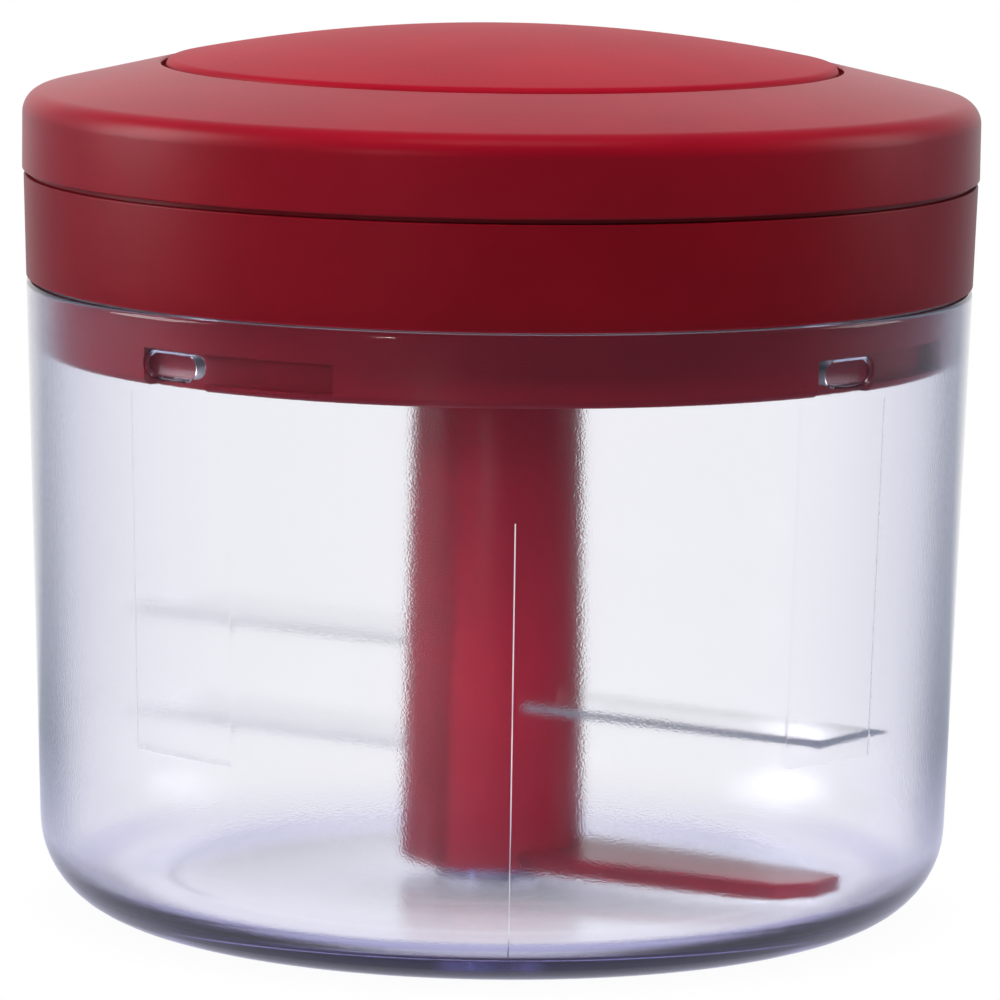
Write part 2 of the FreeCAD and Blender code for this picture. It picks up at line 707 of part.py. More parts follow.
def ring_piece(name, bottom, top, angle):
    """A piece of the plug's outer ring, centred on the +X axis."""
    body = new_body(name)
    revolve(body, name + "_solid", [
        ("channel_floor", bottom), ("plug_radius + free_gap", bottom),
        ("plug_radius + free_gap", top), ("channel_floor", top)], angle)
    return body


lid_base = make_lid_base()


# Cover with its shoulder, slope, pad recess and locating skirt.
def make_cover():
    body = new_body("cover_form")
    slope = "tan(cover_slope * 1 deg)"
    skirt_outer = "ring_inner - slip_gap"
    skirt_inner = f"({skirt_outer} - cover_skirt_wall)"
    revolve(body, "cover_turned", [
        ("cover_radius", "seam_high"), *LID_TOP, ("cover_lip_radius", "pad_seat"),
        ("0", "pad_seat"), ("0", "ceiling"), ("cover_lip_radius", "ceiling"),
        (skirt_inner, f"ceiling - ({skirt_inner} - cover_lip_radius) * {slope}"),
        (skirt_inner, "seam_high - cover_skirt_drop"), (skirt_outer, "seam_high - cover_skirt_drop"),
        (skirt_outer, "seam_high")])
    notch = sector("cover_notch", "bay_inner_radius", "cover_radius + bay_wall", "flange_top",
                   "corner_z + cover_side", "bay_angle")
    return cut("lid_cover", body, notch)


lid_cover = make_cover()


# Domed grip pad laid into the cover.
def make_pad():
    body = new_body("top_pad")
    side = "pad_edge_z - pad_edge_round"
    revolve(body, "pad_form", [
        ("0", "pad_seat"), ("pad_radius", "pad_seat"), ("pad_radius", side, side),
        ("pad_radius - pad_edge_round", "pad_edge_z", "axis"), ("0", "pad_edge_z + pad_crown")])
    return body


top_pad = make_pad()

# Bay at the back of the lid, in which the handle rests with room for fingers.
lid_shape = lid_form("lid_shape")
bay_block = sector("bay_block", "bay_inner_radius", "cover_radius", "flange_top", "lip_z", "bay_angle")
bay_space = sector("bay_space", "bay_floor_inner", "cover_radius + bay_wall", "flange_top + bay_wall",
                   "lip_z + bay_wall", "bay_angle - 2 * bay_side_angle")
bay_bore = cylinder("bay_bore", "eyelet_radius", "bay_wall * 4", "cord_z", "0",
                    "bay_inner_radius - bay_wall * 2", "y")
bay_trimmed = common("bay_trimmed", cut("bay_hollow", bay_block, bay_space), lid_shape)
handle_bay = cut("handle_bay", bay_trimmed, bay_bore)


# Flanged eyelet that the cord runs through.
def make_eyelet():
    body = new_body("cord_eyelet", "cord_z")
    revolve(body, "eyelet_form", [
        ("bay_inner_radius - slip_gap", "cord_bore_radius"), ("bay_inner_radius - slip_gap", "eyelet_radius"),
        ("bay_floor_inner", "eyelet_radius"), ("bay_floor_inner", "eyelet_flange_radius"),
        ("eyelet_face", "eyelet_flange_radius"), ("eyelet_face", "cord_bore_radius")],
        None, "YZ_Plane", "H_Axis")
    return body


cord_eyelet = make_eyelet()


# Pull handle, its cap, and the ferrule that holds the cord's end inside it.
def make_handle():
    bar = new_body("handle_bar")
    slope = "tan(cover_slope * 1 deg)"
    top = f"corner_z + (cover_radius - handle_inner) * {slope}"
    solid = revolve(bar, "handle_bar_solid", [
        ("handle_inner", "corner_z - handle_height"), ("handle_outer", "corner_z - handle_height"),
        ("handle_outer", "corner_z"), ("handle_inner", top)],
        "handle_angle", "YZ_Plane")
    doc.recompute()
    dress(bar, "Chamfer", "handle_bar_edges", solid,
          [f"Edge{i}" for i in range(1, len(solid.Shape.Edges) + 1)], "handle_bevel")
    bar_trimmed = common("handle_bar_trimmed", bar, lid_shape)
    neck = cylinder("handle_neck", "neck_radius", "handle_inner - neck_face + handle_thick / 2", "cord_z",
                    "0", "neck_face", "y")
    bore = cylinder("handle_bore", "cord_bore_radius", "handle_outer - neck_face", "cord_z", "0",
                    "neck_face - free_gap", "y")
    pocket = cylinder("handle_pocket", "pocket_radius", "handle_thick", "cord_z", "0", "pocket_floor", "y")
    return cut("pull_handle", fuse("handle_and_neck", bar_trimmed, neck), fuse("handle_holes", bore, pocket))


pull_handle = make_handle()
cap_blank = cylinder("cap_blank", "pocket_radius", "plug_cap_thick * 2", "cord_z", "0",
                     "handle_outer - plug_cap_thick", "y")
cap_form = cylinder("cap_form", "handle_outer", "handle_height * 2", "corner_z - handle_height * 1.5")
handle_cap = common("handle_cap", cap_blank, cap_form)


def make_ferrule():
    body = new_body("cord_ferrule", "cord_z")
    bore, end = "cord_radius + slip_gap", "pocket_floor + ferrule_length"
    revolve(body, "ferrule_form", [
        ("pocket_floor", bore), ("pocket_floor", "ferrule_radius"), (end, "ferrule_radius"), (end, "0"),
        ("pocket_floor + ferrule_length / 2", "0"), ("pocket_floor + ferrule_length / 2", bore)],
        None, "YZ_Plane", "H_Axis")
    return body


cord_ferrule = make_ferrule()


# Cord spool: winding core with two flanges, spring cavity above a web, ratchet teeth below it.
def make_spool():
    body = new_body("spool_form")
    revolve(body, "spool_turned", [
        ("ratchet_root_radius", "spool_bottom"), ("spool_flange_radius", "spool_bottom"),
        ("spool_flange_radius", "groove_low"), ("core_radius", "groove_low"), ("core_radius", "groove_high"),
        ("spool_flange_radius", "groove_high"), ("spool_flange_radius", "spool_top"),
        ("spring_cavity_radius", "spool_top"), ("spring_cavity_radius", "web_top"),
        ("arbor_radius + run_gap", "web_top"), ("arbor_radius + run_gap", "web_bottom"),
        ("ratchet_root_radius", "web_bottom")])
    step = f"({360 / TEETH} * 1 deg)"
    back = "(ratchet_root_radius + rooting)"
    tooth = pad(body, "ratchet_tooth", [
        (f"ratchet_root_radius * cos({step})", f"-ratchet_root_radius * sin({step})"),
        ("ratchet_tip_radius", "0"), (back, "0"), (f"{back} * cos({step})", f"-{back} * sin({step})")],
        "ratchet_height", "spool_bottom")
    repeat(body, tooth, "ratchet_teeth", TEETH)
    anchor = new_body("cord_anchor")
    face, crest = "(2 * cord_radius + slip_gap)", "core_radius + 2 * cord_radius"
    pad(anchor, "cord_anchor_block", [
        ("core_radius - rooting", f"-{face} - anchor_width"), (crest, f"-{face} - anchor_width"),
        (crest, f"-{face}"), ("core_radius - rooting", f"-{face}")],
        "wrap_low + cord_radius - groove_low", "groove_low")
    turn_about_z(anchor, "leave_angle - 360 * wrap_turns")
    return fuse("cord_spool", body, anchor)


cord_spool = make_spool()


def make_ring(name, inner, outer, bottom, top):
    """A flat ring, such as a washer or a cover disc."""
    body = new_body(name)
    revolve(body, name + "_form", [(inner, bottom), (outer, bottom), (outer, top), (inner, top)])
    return body


spring_cover = make_ring("spring_cover", "arbor_radius + free_gap", "spring_cavity_radius",
                         "cover_disc_bottom", "spool_top")


# Drive hub: pawl carrier above the lid's floor, journal through it, winged driver below it.
def make_hub():
    body = new_body("hub_form")
    revolve(body, "hub_turned", [
        ("0", "wing_bottom"), ("hub_core_radius", "wing_bottom"), ("hub_core_radius", "plug_bottom"),
        ("journal_radius", "plug_bottom"), ("journal_radius", "hub_disc_bottom"),
        ("hub_disc_radius", "hub_disc_bottom"), ("hub_disc_radius", "hub_top"), ("0", "hub_top")])
    block = pad(body, "leaf_block", [
        ("leaf_root_radius - leaf_block_size / 2", "-leaf_root_drop - leaf_block_size"),
        ("leaf_root_radius + leaf_block_size / 2", "-leaf_root_drop - leaf_block_size"),
        ("leaf_root_radius + leaf_block_size / 2", "-leaf_root_drop"),
        ("leaf_root_radius - leaf_block_size / 2", "-leaf_root_drop")], "leaf_height + slip_gap", "hub_top")
    repeat(body, block, "leaf_blocks", SIDES)
    wing = new_body("driver_wing")
    reach = "(journal_radius - slip_gap)"
    pad(wing, "driver_wing_form", [
        (f"-{reach}", "-wing_width / 2"), (reach, "-wing_width / 2"), (reach, "wing_width / 2"),
        (f"-{reach}", "wing_width / 2")], "plug_bottom - wing_bottom", "wing_bottom")
    turn_about_z(wing, "blade_heading - wing_lag")
    pins = [pivot_pin(side) for side in range(SIDES)]
    return fuse("drive_hub", body, wing, *pins)


def pivot(side):
    """Formulas for the place of one pawl's pivot."""
    turn = f"((pawl_lag + {180 * side}) * 1 deg)"
    return f"(pawl_pivot_radius * cos({turn}))", f"(pawl_pivot_radius * sin({turn}))"


def pivot_pin(side):
    """The pin that one pawl swings on, rooted in the hub's disc."""
    x, y = pivot(side)
    return cylinder(f"pawl_pin_{side}", "pawl_pin_radius", "ratchet_height + hub_disc_thick / 2",
                    "hub_top - hub_disc_thick / 2", x, y)


drive_hub = make_hub()


# Pawls that the ratchet teeth push, and the leaf springs behind them.
def make_pawl(name, side):
    bar = new_body(name + "_bar")
    outer, inner = "(pawl_pivot_radius + pawl_hub_radius)", "(pawl_pivot_radius - pawl_hub_radius)"
    lag = "(pawl_lag * 1 deg)"
    pad(bar, name + "_bar_form", [
        ("pawl_tip_radius - pawl_tip_width", "pawl_backlash"), ("pawl_tip_radius", "pawl_backlash"),
        (f"{outer} * cos({lag})", f"{outer} * sin({lag})"),
        (f"{inner} * cos({lag})", f"{inner} * sin({lag})")], "pawl_height", "pawl_bottom")
    turn_about_z(bar, str(180 * side))
    x, y = pivot(side)
    round_end = cylinder(name + "_end", "pawl_hub_radius", "pawl_height", "pawl_bottom", x, y)
    bore = cylinder(name + "_bore", "pawl_pin_radius + run_gap", "pawl_height * 2",
                    "pawl_bottom - pawl_height / 2", x, y)
    return cut(name, fuse(name + "_joined", bar, round_end), bore)


def make_leaf(name, side):
    body = new_body(name)
    lag = "(pawl_lag * 1 deg)"
    inner = "(pawl_pivot_radius - pawl_hub_radius)"
    middle_x = f"((pawl_tip_radius - pawl_tip_width + {inner} * cos({lag})) / 2)"
    middle_y = f"((pawl_backlash + {inner} * sin({lag})) / 2)"
    end_x, end_y = f"({middle_x} - slip_gap)", f"({middle_y} - slip_gap)"
    pad(body, name + "_form", [
        ("leaf_root_radius - leaf_thick / 2", "-leaf_root_drop"),
        ("leaf_root_radius + leaf_thick / 2", "-leaf_root_drop"),
        (end_x, end_y), (f"{end_x} - leaf_thick", end_y)], "leaf_height", "hub_top + slip_gap")
    turn_about_z(body, str(180 * side))
    return body


pawl_a, pawl_b = make_pawl("pawl_a", 0), make_pawl("pawl_b", 1)
pawl_spring_a, pawl_spring_b = make_leaf("pawl_spring_a", 0), make_leaf("pawl_spring_b", 1)


# Flanged bush in the lid's boss, in which the drive hub turns.
def make_bush():
    body = new_body("shaft_bush")
    bore, low = "journal_radius + run_gap", "plug_bottom + slip_gap"
    revolve(body, "bush_form", [
        (bore, low), ("bush_radius", low), ("bush_radius", "boss_top_z"),
        ("bush_flange_radius", "boss_top_z"), ("bush_flange_radius", "bush_top"), (bore, "bush_top")])
    return body


shaft_bush = make_bush()


# Plate over the spool, its screws, and the arbor that hangs from it.
def make_plate():
    body = new_body("plate_form")
    revolve(body, "plate_turned", [
        ("arbor_radius", "plate_bottom"), ("plate_radius", "plate_bottom"), ("plate_radius", "plate_top"),
        ("arbor_radius", "plate_top")])
    holes = post_ring("plate_hole", "screw_shank_radius", "plate_thick * 3", "plate_bottom - plate_thick")
    return cut("mechanism_plate", body, fuse("plate_holes", *holes))


def make_plate_screws():
    shanks = post_ring("screw_shank", "screw_shank_radius", "screw_length", "screw_foot")
    heads = post_ring("screw_head", "screw_head_radius", "screw_head_height", "plate_top")
    screws = [fuse(f"plate_screw_{i}", *pair) for i, pair in enumerate(zip(shanks, heads))]
    return group("plate_screws", screws)


def make_arbor():
    body = new_body("spring_arbor")
    hole_top = "retainer_top + screw_length"
    top = "plate_top + arbor_flange_thick"
    revolve(body, "arbor_form", [
        ("screw_shank_radius", "retainer_top"), ("arbor_radius", "retainer_top"),
        ("arbor_radius", "plate_top"), ("arbor_flange_radius", "plate_top"), ("arbor_flange_radius", top),
        ("0", top), ("0", hole_top), ("screw_shank_radius", hole_top)])
    return body


def make_arbor_screw():
    body = new_body("arbor_screw")
    head_low, tip = "retainer_bottom - screw_head_height", "retainer_top + screw_length - free_gap"
    revolve(body, "arbor_screw_form", [
        ("0", head_low), ("screw_head_radius", head_low), ("screw_head_radius", "retainer_bottom"),
        ("screw_shank_radius", "retainer_bottom"), ("screw_shank_radius", tip), ("0", tip)])
    return body


mechanism_plate = make_plate()
plate_screws = make_plate_screws()
spring_arbor = make_arbor()
retainer_washer = make_ring("retainer_washer", "screw_shank_radius", "retainer_radius",
                            "retainer_bottom", "retainer_top")
arbor_screw = make_arbor_screw()


def shape_feature(name, shape):
    """A sub-part whose form is neither turned, padded nor a primitive."""
    feature = doc.addObject("Part::Feature", name)
    feature.Shape = shape
    return feature


# Recoil spring: a flat strip in a spiral of half circles, whose centres lie on alternate sides.
def make_recoil_spring():
    first, last = number("strip_start"), number("strip_end")
    halves = int(number("strip_half_turns"))
    growth = (last - first) / halves
    half_thick = number("strip_thick / 2")
    sides = []
    for offset in (half_thick, -half_thick):
        arcs = []
        start = Vector(first + offset, 0, 0)
        centre_x, radius = 0.0, first
        for i in range(halves):
            way = 1 if i % 2 == 0 else -1
            across = Vector(centre_x, way * (radius + offset), 0)
            end = Vector(centre_x - way * (radius + offset), 0, 0)
            arcs.append(Part.Arc(start, across, end).toShape())
            centre_x += way * growth
            radius += growth
            start = end
        sides.append((arcs, start))
    outer, inner = sides
    closing = [Part.LineSegment(outer[1], inner[1]).toShape(),
               Part.LineSegment(outer[0][0].Vertexes[0].Point, inner[0][0].Vertexes[0].Point).toShape()]
    wire = Part.Wire(Part.__sortEdges__(outer[0] + inner[0] + closing))
    strip = Part.Face(wire)
    strip.translate(Vector(0, 0, number("spring_low")))
    print(f"recoil spring: least gap between turns {2 * growth - 2 * half_thick:.2f} mm")
    return shape_feature("recoil_spring", strip.extrude(Vector(0, 0, number("spring_height"))))


recoil_spring = make_recoil_spring()


def biarc(start, start_way, end, end_way):
    """Two arcs that leave one point along its direction and meet the other along its own."""
    chord = end - start
    a = 2 * (start_way.dot(end_way) - 1)
    b = -2 * chord.dot(start_way + end_way)
    c = chord.dot(chord)
    reach = (-b - math.sqrt(b * b - 4 * a * c)) / (2 * a) if abs(a) > 1e-9 else -c / b
    reach = abs(reach)
    corners = (start + start_way * reach, end - end_way * reach)
    middle = (corners[0] + corners[1]) * 0.5
    return [corner_arc(start, corners[0], middle), corner_arc(middle, corners[1], end)]


def corner_arc(start, corner, end):
    """The arc that touches both runs of a corner at points equally far from it."""
    mid = (start + end) * 0.5
    half = (end - start).Length / 2
    rise = (corner - mid).Length
    turn = math.atan2(rise, half)
    return Part.Arc(start, mid + (corner - mid) * (half * math.tan(turn / 2) / rise), end).toShape()


# Pull cord: anchored on the spool, wound on its core, led through the eyelet into the handle.
def make_cord():
    wrap, drop = number("wrap_radius"), number("wrap_pitch")
    turns, leave = number("wrap_turns"), math.radians(number("leave_angle"))
    low, high = number("wrap_low"), number("cord_z")
    bend, corner_y = number("cord_bend"), number("bend_point")
    quarters = round(4 * turns)

    def on_core(angle, height):
        return Vector(wrap * math.cos(angle), wrap * math.sin(angle), height)

    def along(angle, climb):
        way = Vector(-math.sin(angle), math.cos(angle), climb)
        return way.normalize()

    first = leave - turns * 2 * math.pi
    start = on_core(first, low)
    edges = [Part.LineSegment(start - along(first, 0) * number("2 * cord_radius"), start).toShape()]
    slope = drop / (2 * math.pi * wrap)
    for i in range(quarters):
        angles = [first + (leave - first) * k / quarters for k in (i, i + 1)]
        heights = [low + (high - low) * k / quarters for k in (i, i + 1)]
        climbs = [0 if i == 0 else slope, 0 if i == quarters - 1 else slope]
        edges += biarc(on_core(angles[0], heights[0]), along(angles[0], climbs[0]),
                       on_core(angles[1], heights[1]), along(angles[1], climbs[1]))
    corner = Vector(0, corner_y, high)
    tail = along(leave, 0)
    back = bend * math.tan(leave / 2)
    entry, out = corner - tail * back, corner + Vector(0, back, 0)
    end = Vector(0, number("pocket_floor + ferrule_length / 2 - slip_gap"), high)
    edges += [Part.LineSegment(on_core(leave, high), entry).toShape(), corner_arc(entry, corner, out),
              Part.LineSegment(out, end).toShape()]
    path = Part.Wire(edges)
    way = edges[0].tangentAt(edges[0].FirstParameter)
    section = Part.Wire(Part.Circle(edges[0].Vertexes[0].Point, way, number("cord_radius")).toShape())
    tube = path.makePipeShell([section], True, False)
    report_cord(tube, path, edges)
    return shape_feature("pull_cord", tube)


def report_cord(tube, path, edges):
    """Prints the cord's length, its least radius, its volume ratio and its least gap to itself."""
    radius = number("cord_radius")
    arcs = [edge.Curve.Radius for edge in edges if isinstance(edge.Curve, Part.Circle)]
    ratio = tube.Volume / (math.pi * radius ** 2 * path.Length)
    points = path.discretize(Distance=radius)
    apart = round(4 * math.pi)      # points further along than a half turn of the cord's own bend
    pairs = ((one, two) for i, one in enumerate(points) for two in points[i + apart:])
    gap = min((one - two).Length for one, two in pairs)
    print(f"pull cord: length {path.Length:.1f} mm, least radius {min(arcs):.2f} mm, "
          f"volume over section times length {ratio:.4f}, least gap to itself {gap - 2 * radius:.2f} mm")


pull_cord = make_cord()

NODES = [
    bowl, centre_pin, blade_column, blade_lower, blade_middle, blade_upper,
    lid_seal, lid_base, lid_cover, top_pad, handle_bay, cord_eyelet, shaft_bush, mechanism_plate,
    plate_screws,
    spring_arbor, retainer_washer, arbor_screw, recoil_spring, pull_cord,
    pull_handle, handle_cap, cord_ferrule, cord_spool, spring_cover, drive_hub,
    pawl_a, pawl_b, pawl_spring_a, pawl_spring_b,
]


def check_document():
    """Stops the build where an object failed or a sub-part's solid is empty or not sound."""
    doc.recompute()
    failed = [o.Name for o in doc.Objects if {"Invalid", "Error"} & set(o.State)]
    if failed:
        raise RuntimeError("failed objects: " + ", ".join(failed))
    for node in NODES:
        shape = node.Shape
        if shape.isNull() or not shape.isValid() or not shape.Solids:
            raise RuntimeError("unsound solid: " + node.Label)


check_document()
os.makedirs("parts", exist_ok=True)
for node in NODES:
    node.Shape.exportStep(f"parts/{node.Label}.step")
    print(f"{node.Label}: {len(node.Shape.Solids)} solid, {node.Shape.Volume:.1f} cubic mm")
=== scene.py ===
"""Looks of a pull-string food chopper, dressed on its fixed CAD frame. Lengths are millimetres until a mesh is made."""
import logging
import math
from collections.abc import Mapping, Sequence
from dataclasses import dataclass
from enum import Enum, IntEnum
from typing import ClassVar

import bmesh
import bpy
import numpy as np
from mathutils import Matrix, Vector


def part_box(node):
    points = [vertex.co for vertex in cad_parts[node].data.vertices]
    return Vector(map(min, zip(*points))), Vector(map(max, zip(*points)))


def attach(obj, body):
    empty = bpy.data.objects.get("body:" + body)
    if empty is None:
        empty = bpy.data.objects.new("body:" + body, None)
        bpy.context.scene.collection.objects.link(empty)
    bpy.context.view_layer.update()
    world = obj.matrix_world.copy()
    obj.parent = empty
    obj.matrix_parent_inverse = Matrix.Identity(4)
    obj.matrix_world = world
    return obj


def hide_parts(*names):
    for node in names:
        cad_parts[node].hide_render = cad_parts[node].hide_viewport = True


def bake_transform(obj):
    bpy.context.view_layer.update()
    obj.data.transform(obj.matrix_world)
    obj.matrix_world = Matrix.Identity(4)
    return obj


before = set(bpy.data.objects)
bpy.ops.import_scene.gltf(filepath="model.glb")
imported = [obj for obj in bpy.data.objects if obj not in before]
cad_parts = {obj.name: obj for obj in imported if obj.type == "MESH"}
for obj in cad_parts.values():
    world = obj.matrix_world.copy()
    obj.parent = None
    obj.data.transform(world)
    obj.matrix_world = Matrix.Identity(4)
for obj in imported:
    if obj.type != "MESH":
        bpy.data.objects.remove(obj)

MM = 0.001
SAME_ROW = 1e-6         # heights closer than this, in millimetres, count as one
SAME_COLUMN = 1e-4      # headings closer than this, in degrees, count as one
WELD = 1e-7             # points of a made mesh closer than this, in metres, are merged
CAD_WELD = 1e-6         # the same for the mesh of a CAD node
SLIVER = 1e-8           # faces and edges shorter than this, in metres, are dissolved
LUG_TURNS = (45.0, 135.0, 225.0, 315.0)
BLADE_HEADING = -35.0
Array = np.ndarray
Socket = bpy.types.NodeSocket
Pair = tuple[float, float]
Triple = tuple[float, float, float]
log = logging.getLogger("chopper")


class Body(Enum):
    """Moving bodies that the pieces ride on."""

    BOWL = "bowl"
    BLADES = "blades"
    SEAL = "seal"
    LID = "lid"
    HANDLE = "handle"


class Shade(Enum):
    """How the faces of a piece are shaded."""

    SMOOTH = 180.0
    CREASED = 32.0


class Face(IntEnum):
    """Finish numbers of the bowl's faces."""

    POLISHED = 0
    FROSTED = 1
    LINE = 2
    FOOT = 3


# Profiles, grids and meshes


def rounded(corners: Sequence[tuple[float, ...]], steps: int = 8, closed: bool = False) -> Array:
    """Points of a flat outline whose corners are rounded.

    Each corner with a radius becomes an arc that touches both of its runs: its centre lies on the bisector
    at radius / sin(half angle), and its points turn evenly between the two touching points.

    Args:
        corners: (across, up) or (across, up, radius) of each corner in turn.
        steps: Runs along each arc.
        closed: Whether the last corner runs on to the first.

    Returns:
        Array of shape (points, 2).
    """
    spots = np.array([c[:2] for c in corners], float)
    count, pieces = len(spots), []
    for i, corner in enumerate(corners):
        radius = corner[2] if len(corner) > 2 else 0.0
        if radius == 0.0 or (not closed and i in (0, count - 1)):
            pieces.append(spots[i:i + 1])
            continue
        back, ahead = spots[i - 1] - spots[i], spots[(i + 1) % count] - spots[i]
        back, ahead = back / np.linalg.norm(back), ahead / np.linalg.norm(ahead)
        half = math.acos(float(np.clip(back @ ahead, -1, 1))) / 2
        centre = spots[i] + (back + ahead) / np.linalg.norm(back + ahead) * radius / math.sin(half)
        arms = [spots[i] + way * radius / math.tan(half) - centre for way in (back, ahead)]
        turn, part = math.pi - 2 * half, np.linspace(0, 1, steps + 1)[:, None]
        pieces.append(centre + (np.sin((1 - part) * turn) * arms[0] + np.sin(part * turn) * arms[1]) / math.sin(turn))
    return np.concatenate(pieces)


def with_rows(profile: Array, heights: Sequence[float]) -> Array:
    """Adds rows to the upright runs of a profile.

    Args:
        profile: Array of shape (points, 2), radius and height.
        heights: Heights at which each run that passes them gets a point, by linear blending of its ends.

    Returns:
        The profile with those points in place.
    """
    result = [profile[:1]]
    for start, end in zip(profile[:-1], profile[1:]):
        low, high = sorted((start[1], end[1]))
        passed = [h for h in heights if low + SAME_ROW < h < high - SAME_ROW]
        inside = np.array(sorted(passed, reverse=bool(end[1] < start[1])))
        if len(inside):
            part = ((inside - start[1]) / (end[1] - start[1]))[:, None]
            result.append(start + part * (end - start))
        result.append(end[None])
    return np.concatenate(result)


def turned(profile: Array, angles: Array) -> Array:
    """Surface of revolution: (angle, point) -> (r cos a, r sin a, z).

    Args:
        profile: Radius and height of each point, shape (points, 2).
        angles: Angles about the upright axis, in degrees.

    Returns:
        Grid of shape (angles, points, 3).
    """
    a = np.radians(angles)[:, None]
    r, z = profile[None, :, 0], profile[None, :, 1]
    return np.stack([r * np.cos(a), r * np.sin(a), np.broadcast_to(z, (len(angles), len(profile)))], -1)


def around(count: int, extra: Sequence[float] = ()) -> Array:
    """Angles of a full turn in degrees, evenly spaced, with further ones put in.

    Args:
        count: Even steps of the turn.
        extra: Angles that a feature's edge needs.

    Returns:
        Sorted angles in [0, 360).
    """
    angles = np.concatenate([np.arange(count) * 360.0 / count, np.mod(np.asarray(extra, float), 360)])
    return np.unique(np.round(angles, 6))


@dataclass
class Shell:
    """Points and faces of one surface, with a finish number for each face."""

    points: Array
    faces: list[tuple[int, ...]]
    finish: list[int]

    @classmethod
    def grid(cls, grid: Array, wrap_u: bool = True, wrap_v: bool = False, finish: Array | int = 0,
             caps: bool = False) -> "Shell":
        """Quads between the neighbours of a grid of points.

        Args:
            grid: Points, shape (u, v, 3).
            wrap_u: Whether the last row in u joins the first.
            wrap_v: Whether the last row in v joins the first.
            finish: Finish number of each quad, or one for all.
            caps: Whether the two ends in u are closed by flat faces.

        Returns:
            The shell.
        """
        nu, nv = grid.shape[:2]
        u, v = np.meshgrid(np.arange(nu if wrap_u else nu - 1), np.arange(nv if wrap_v else nv - 1), indexing="ij")
        u2, v2 = (u + 1) % nu, (v + 1) % nv
        quads = np.stack([u * nv + v, u2 * nv + v, u2 * nv + v2, u * nv + v2], -1)
        numbers = np.broadcast_to(np.asarray(finish), u.shape).reshape(-1)
        faces = [tuple(q) for q in quads.reshape(-1, 4).tolist()]
        numbers = numbers.tolist()
        if caps:
            faces += [tuple(range(nv)), tuple(range((nu - 1) * nv, nu * nv))[::-1]]
            numbers += [int(numbers[0])] * 2
        return cls(grid.reshape(-1, 3), faces, numbers)

    @classmethod
    def join(cls, shells: Sequence["Shell"]) -> "Shell":
        """Several shells as one.

        Args:
            shells: The shells.

        Returns:
            One shell with all their faces.
        """
        starts = np.cumsum([0] + [len(s.points) for s in shells[:-1]])
        faces = [tuple(i + int(n) for i in f) for s, n in zip(shells, starts) for f in s.faces]
        return cls(np.concatenate([s.points for s in shells]), faces, [n for s in shells for n in s.finish])

    def turned_by(self, degrees: float) -> "Shell":
        """The shell turned about the upright axis.

        Args:
            degrees: Angle of the turn.

        Returns:
            A new shell.
        """
        c, s = math.cos(math.radians(degrees)), math.sin(math.radians(degrees))
        return Shell(self.points @ np.array([[c, s, 0], [-s, c, 0], [0, 0, 1.0]]), self.faces, self.finish)


def lathe(corners: Sequence[tuple[float, ...]], count: int = 192, steps: int = 8, closed: bool = True) -> Shell:
    """A plain turned solid.

    Args:
        corners: Radius, height and rounding of each corner of its profile.
        count: Steps of the full turn.
        steps: Runs along each rounded corner.
        closed: Whether the profile closes on itself, and not on the axis.

    Returns:
        The shell.
    """
    return Shell.grid(turned(rounded(corners, steps, closed), around(count)), wrap_v=closed)


def prism(outline: Array, low: float, high: float) -> Shell:
    """A flat outline carried straight up: the grid's two rows are the outline at both heights.

    Args:
        outline: Points of the outline, shape (points, 2).
        low: Height of its underside.
        high: Height of its top.

    Returns:
        The closed shell.
    """
    rows = [np.column_stack([outline, np.full(len(outline), z)]) for z in (low, high)]
    return Shell.grid(np.stack(rows), wrap_u=False, wrap_v=True, caps=True)


def placed(name: str, data: bpy.types.ID) -> bpy.types.Object:
    """An object at the origin, linked to the scene.

    Args:
        name: Name of the object.
        data: Its mesh, lamp or camera.

    Returns:
        The object.
    """
    thing = bpy.data.objects.new(name, data)
    bpy.context.collection.objects.link(thing)
    return thing


def bevelled(thing: bpy.types.Object, width: float, segments: int, angle: float) -> bpy.types.Object:
    """Rounds an object's sharp edges with a modifier.

    Args:
        thing: The object.
        width: Width of the rounding, in millimetres.
        segments: Faces across it.
        angle: Angle past which an edge is rounded, in degrees.

    Returns:
        The same object.
    """
    edge = thing.modifiers.new("edges", "BEVEL")
    edge.width, edge.segments, edge.limit_method, edge.angle_limit = width * MM, segments, "ANGLE", math.radians(angle)
    edge.use_clamp_overlap = edge.harden_normals = True
    return thing


def piece(name: str, shell: Shell, finishes: Sequence[bpy.types.Material], shade: Shade = Shade.CREASED,
          bevel: float = 0.0) -> bpy.types.Object:
    """Makes one object of a shell, with its faces outwards and its poles closed.

    Args:
        name: Name of the object.
        shell: Points in millimetres and faces.
        finishes: Materials that the finish numbers choose from.
        shade: Angle past which an edge stays sharp.
        bevel: Width of a rounding on sharp edges, in millimetres.

    Returns:
        The object, at the origin.
    """
    mesh = bpy.data.meshes.new(name)
    mesh.from_pydata((shell.points * MM).tolist(), [], shell.faces)
    mesh.polygons.foreach_set("material_index", np.minimum(shell.finish, len(finishes) - 1).astype(np.int32))
    mesh.attributes.new("finish", "FLOAT", "FACE").data.foreach_set("value", np.array(shell.finish, np.float32))
    for material in finishes:
        mesh.materials.append(material)
    work = bmesh.new()
    work.from_mesh(mesh)
    bmesh.ops.remove_doubles(work, verts=work.verts, dist=WELD)
    bmesh.ops.dissolve_degenerate(work, edges=work.edges, dist=SLIVER)
    bmesh.ops.recalc_face_normals(work, faces=work.faces)
    work.to_mesh(mesh)
    work.free()
    mesh.shade_smooth()
    if shade is not Shade.SMOOTH:
        mesh.set_sharp_from_angle(angle=math.radians(shade.value))
    thing = placed(name, mesh)
    return bevelled(thing, bevel, segments=2, angle=40) if bevel else thing


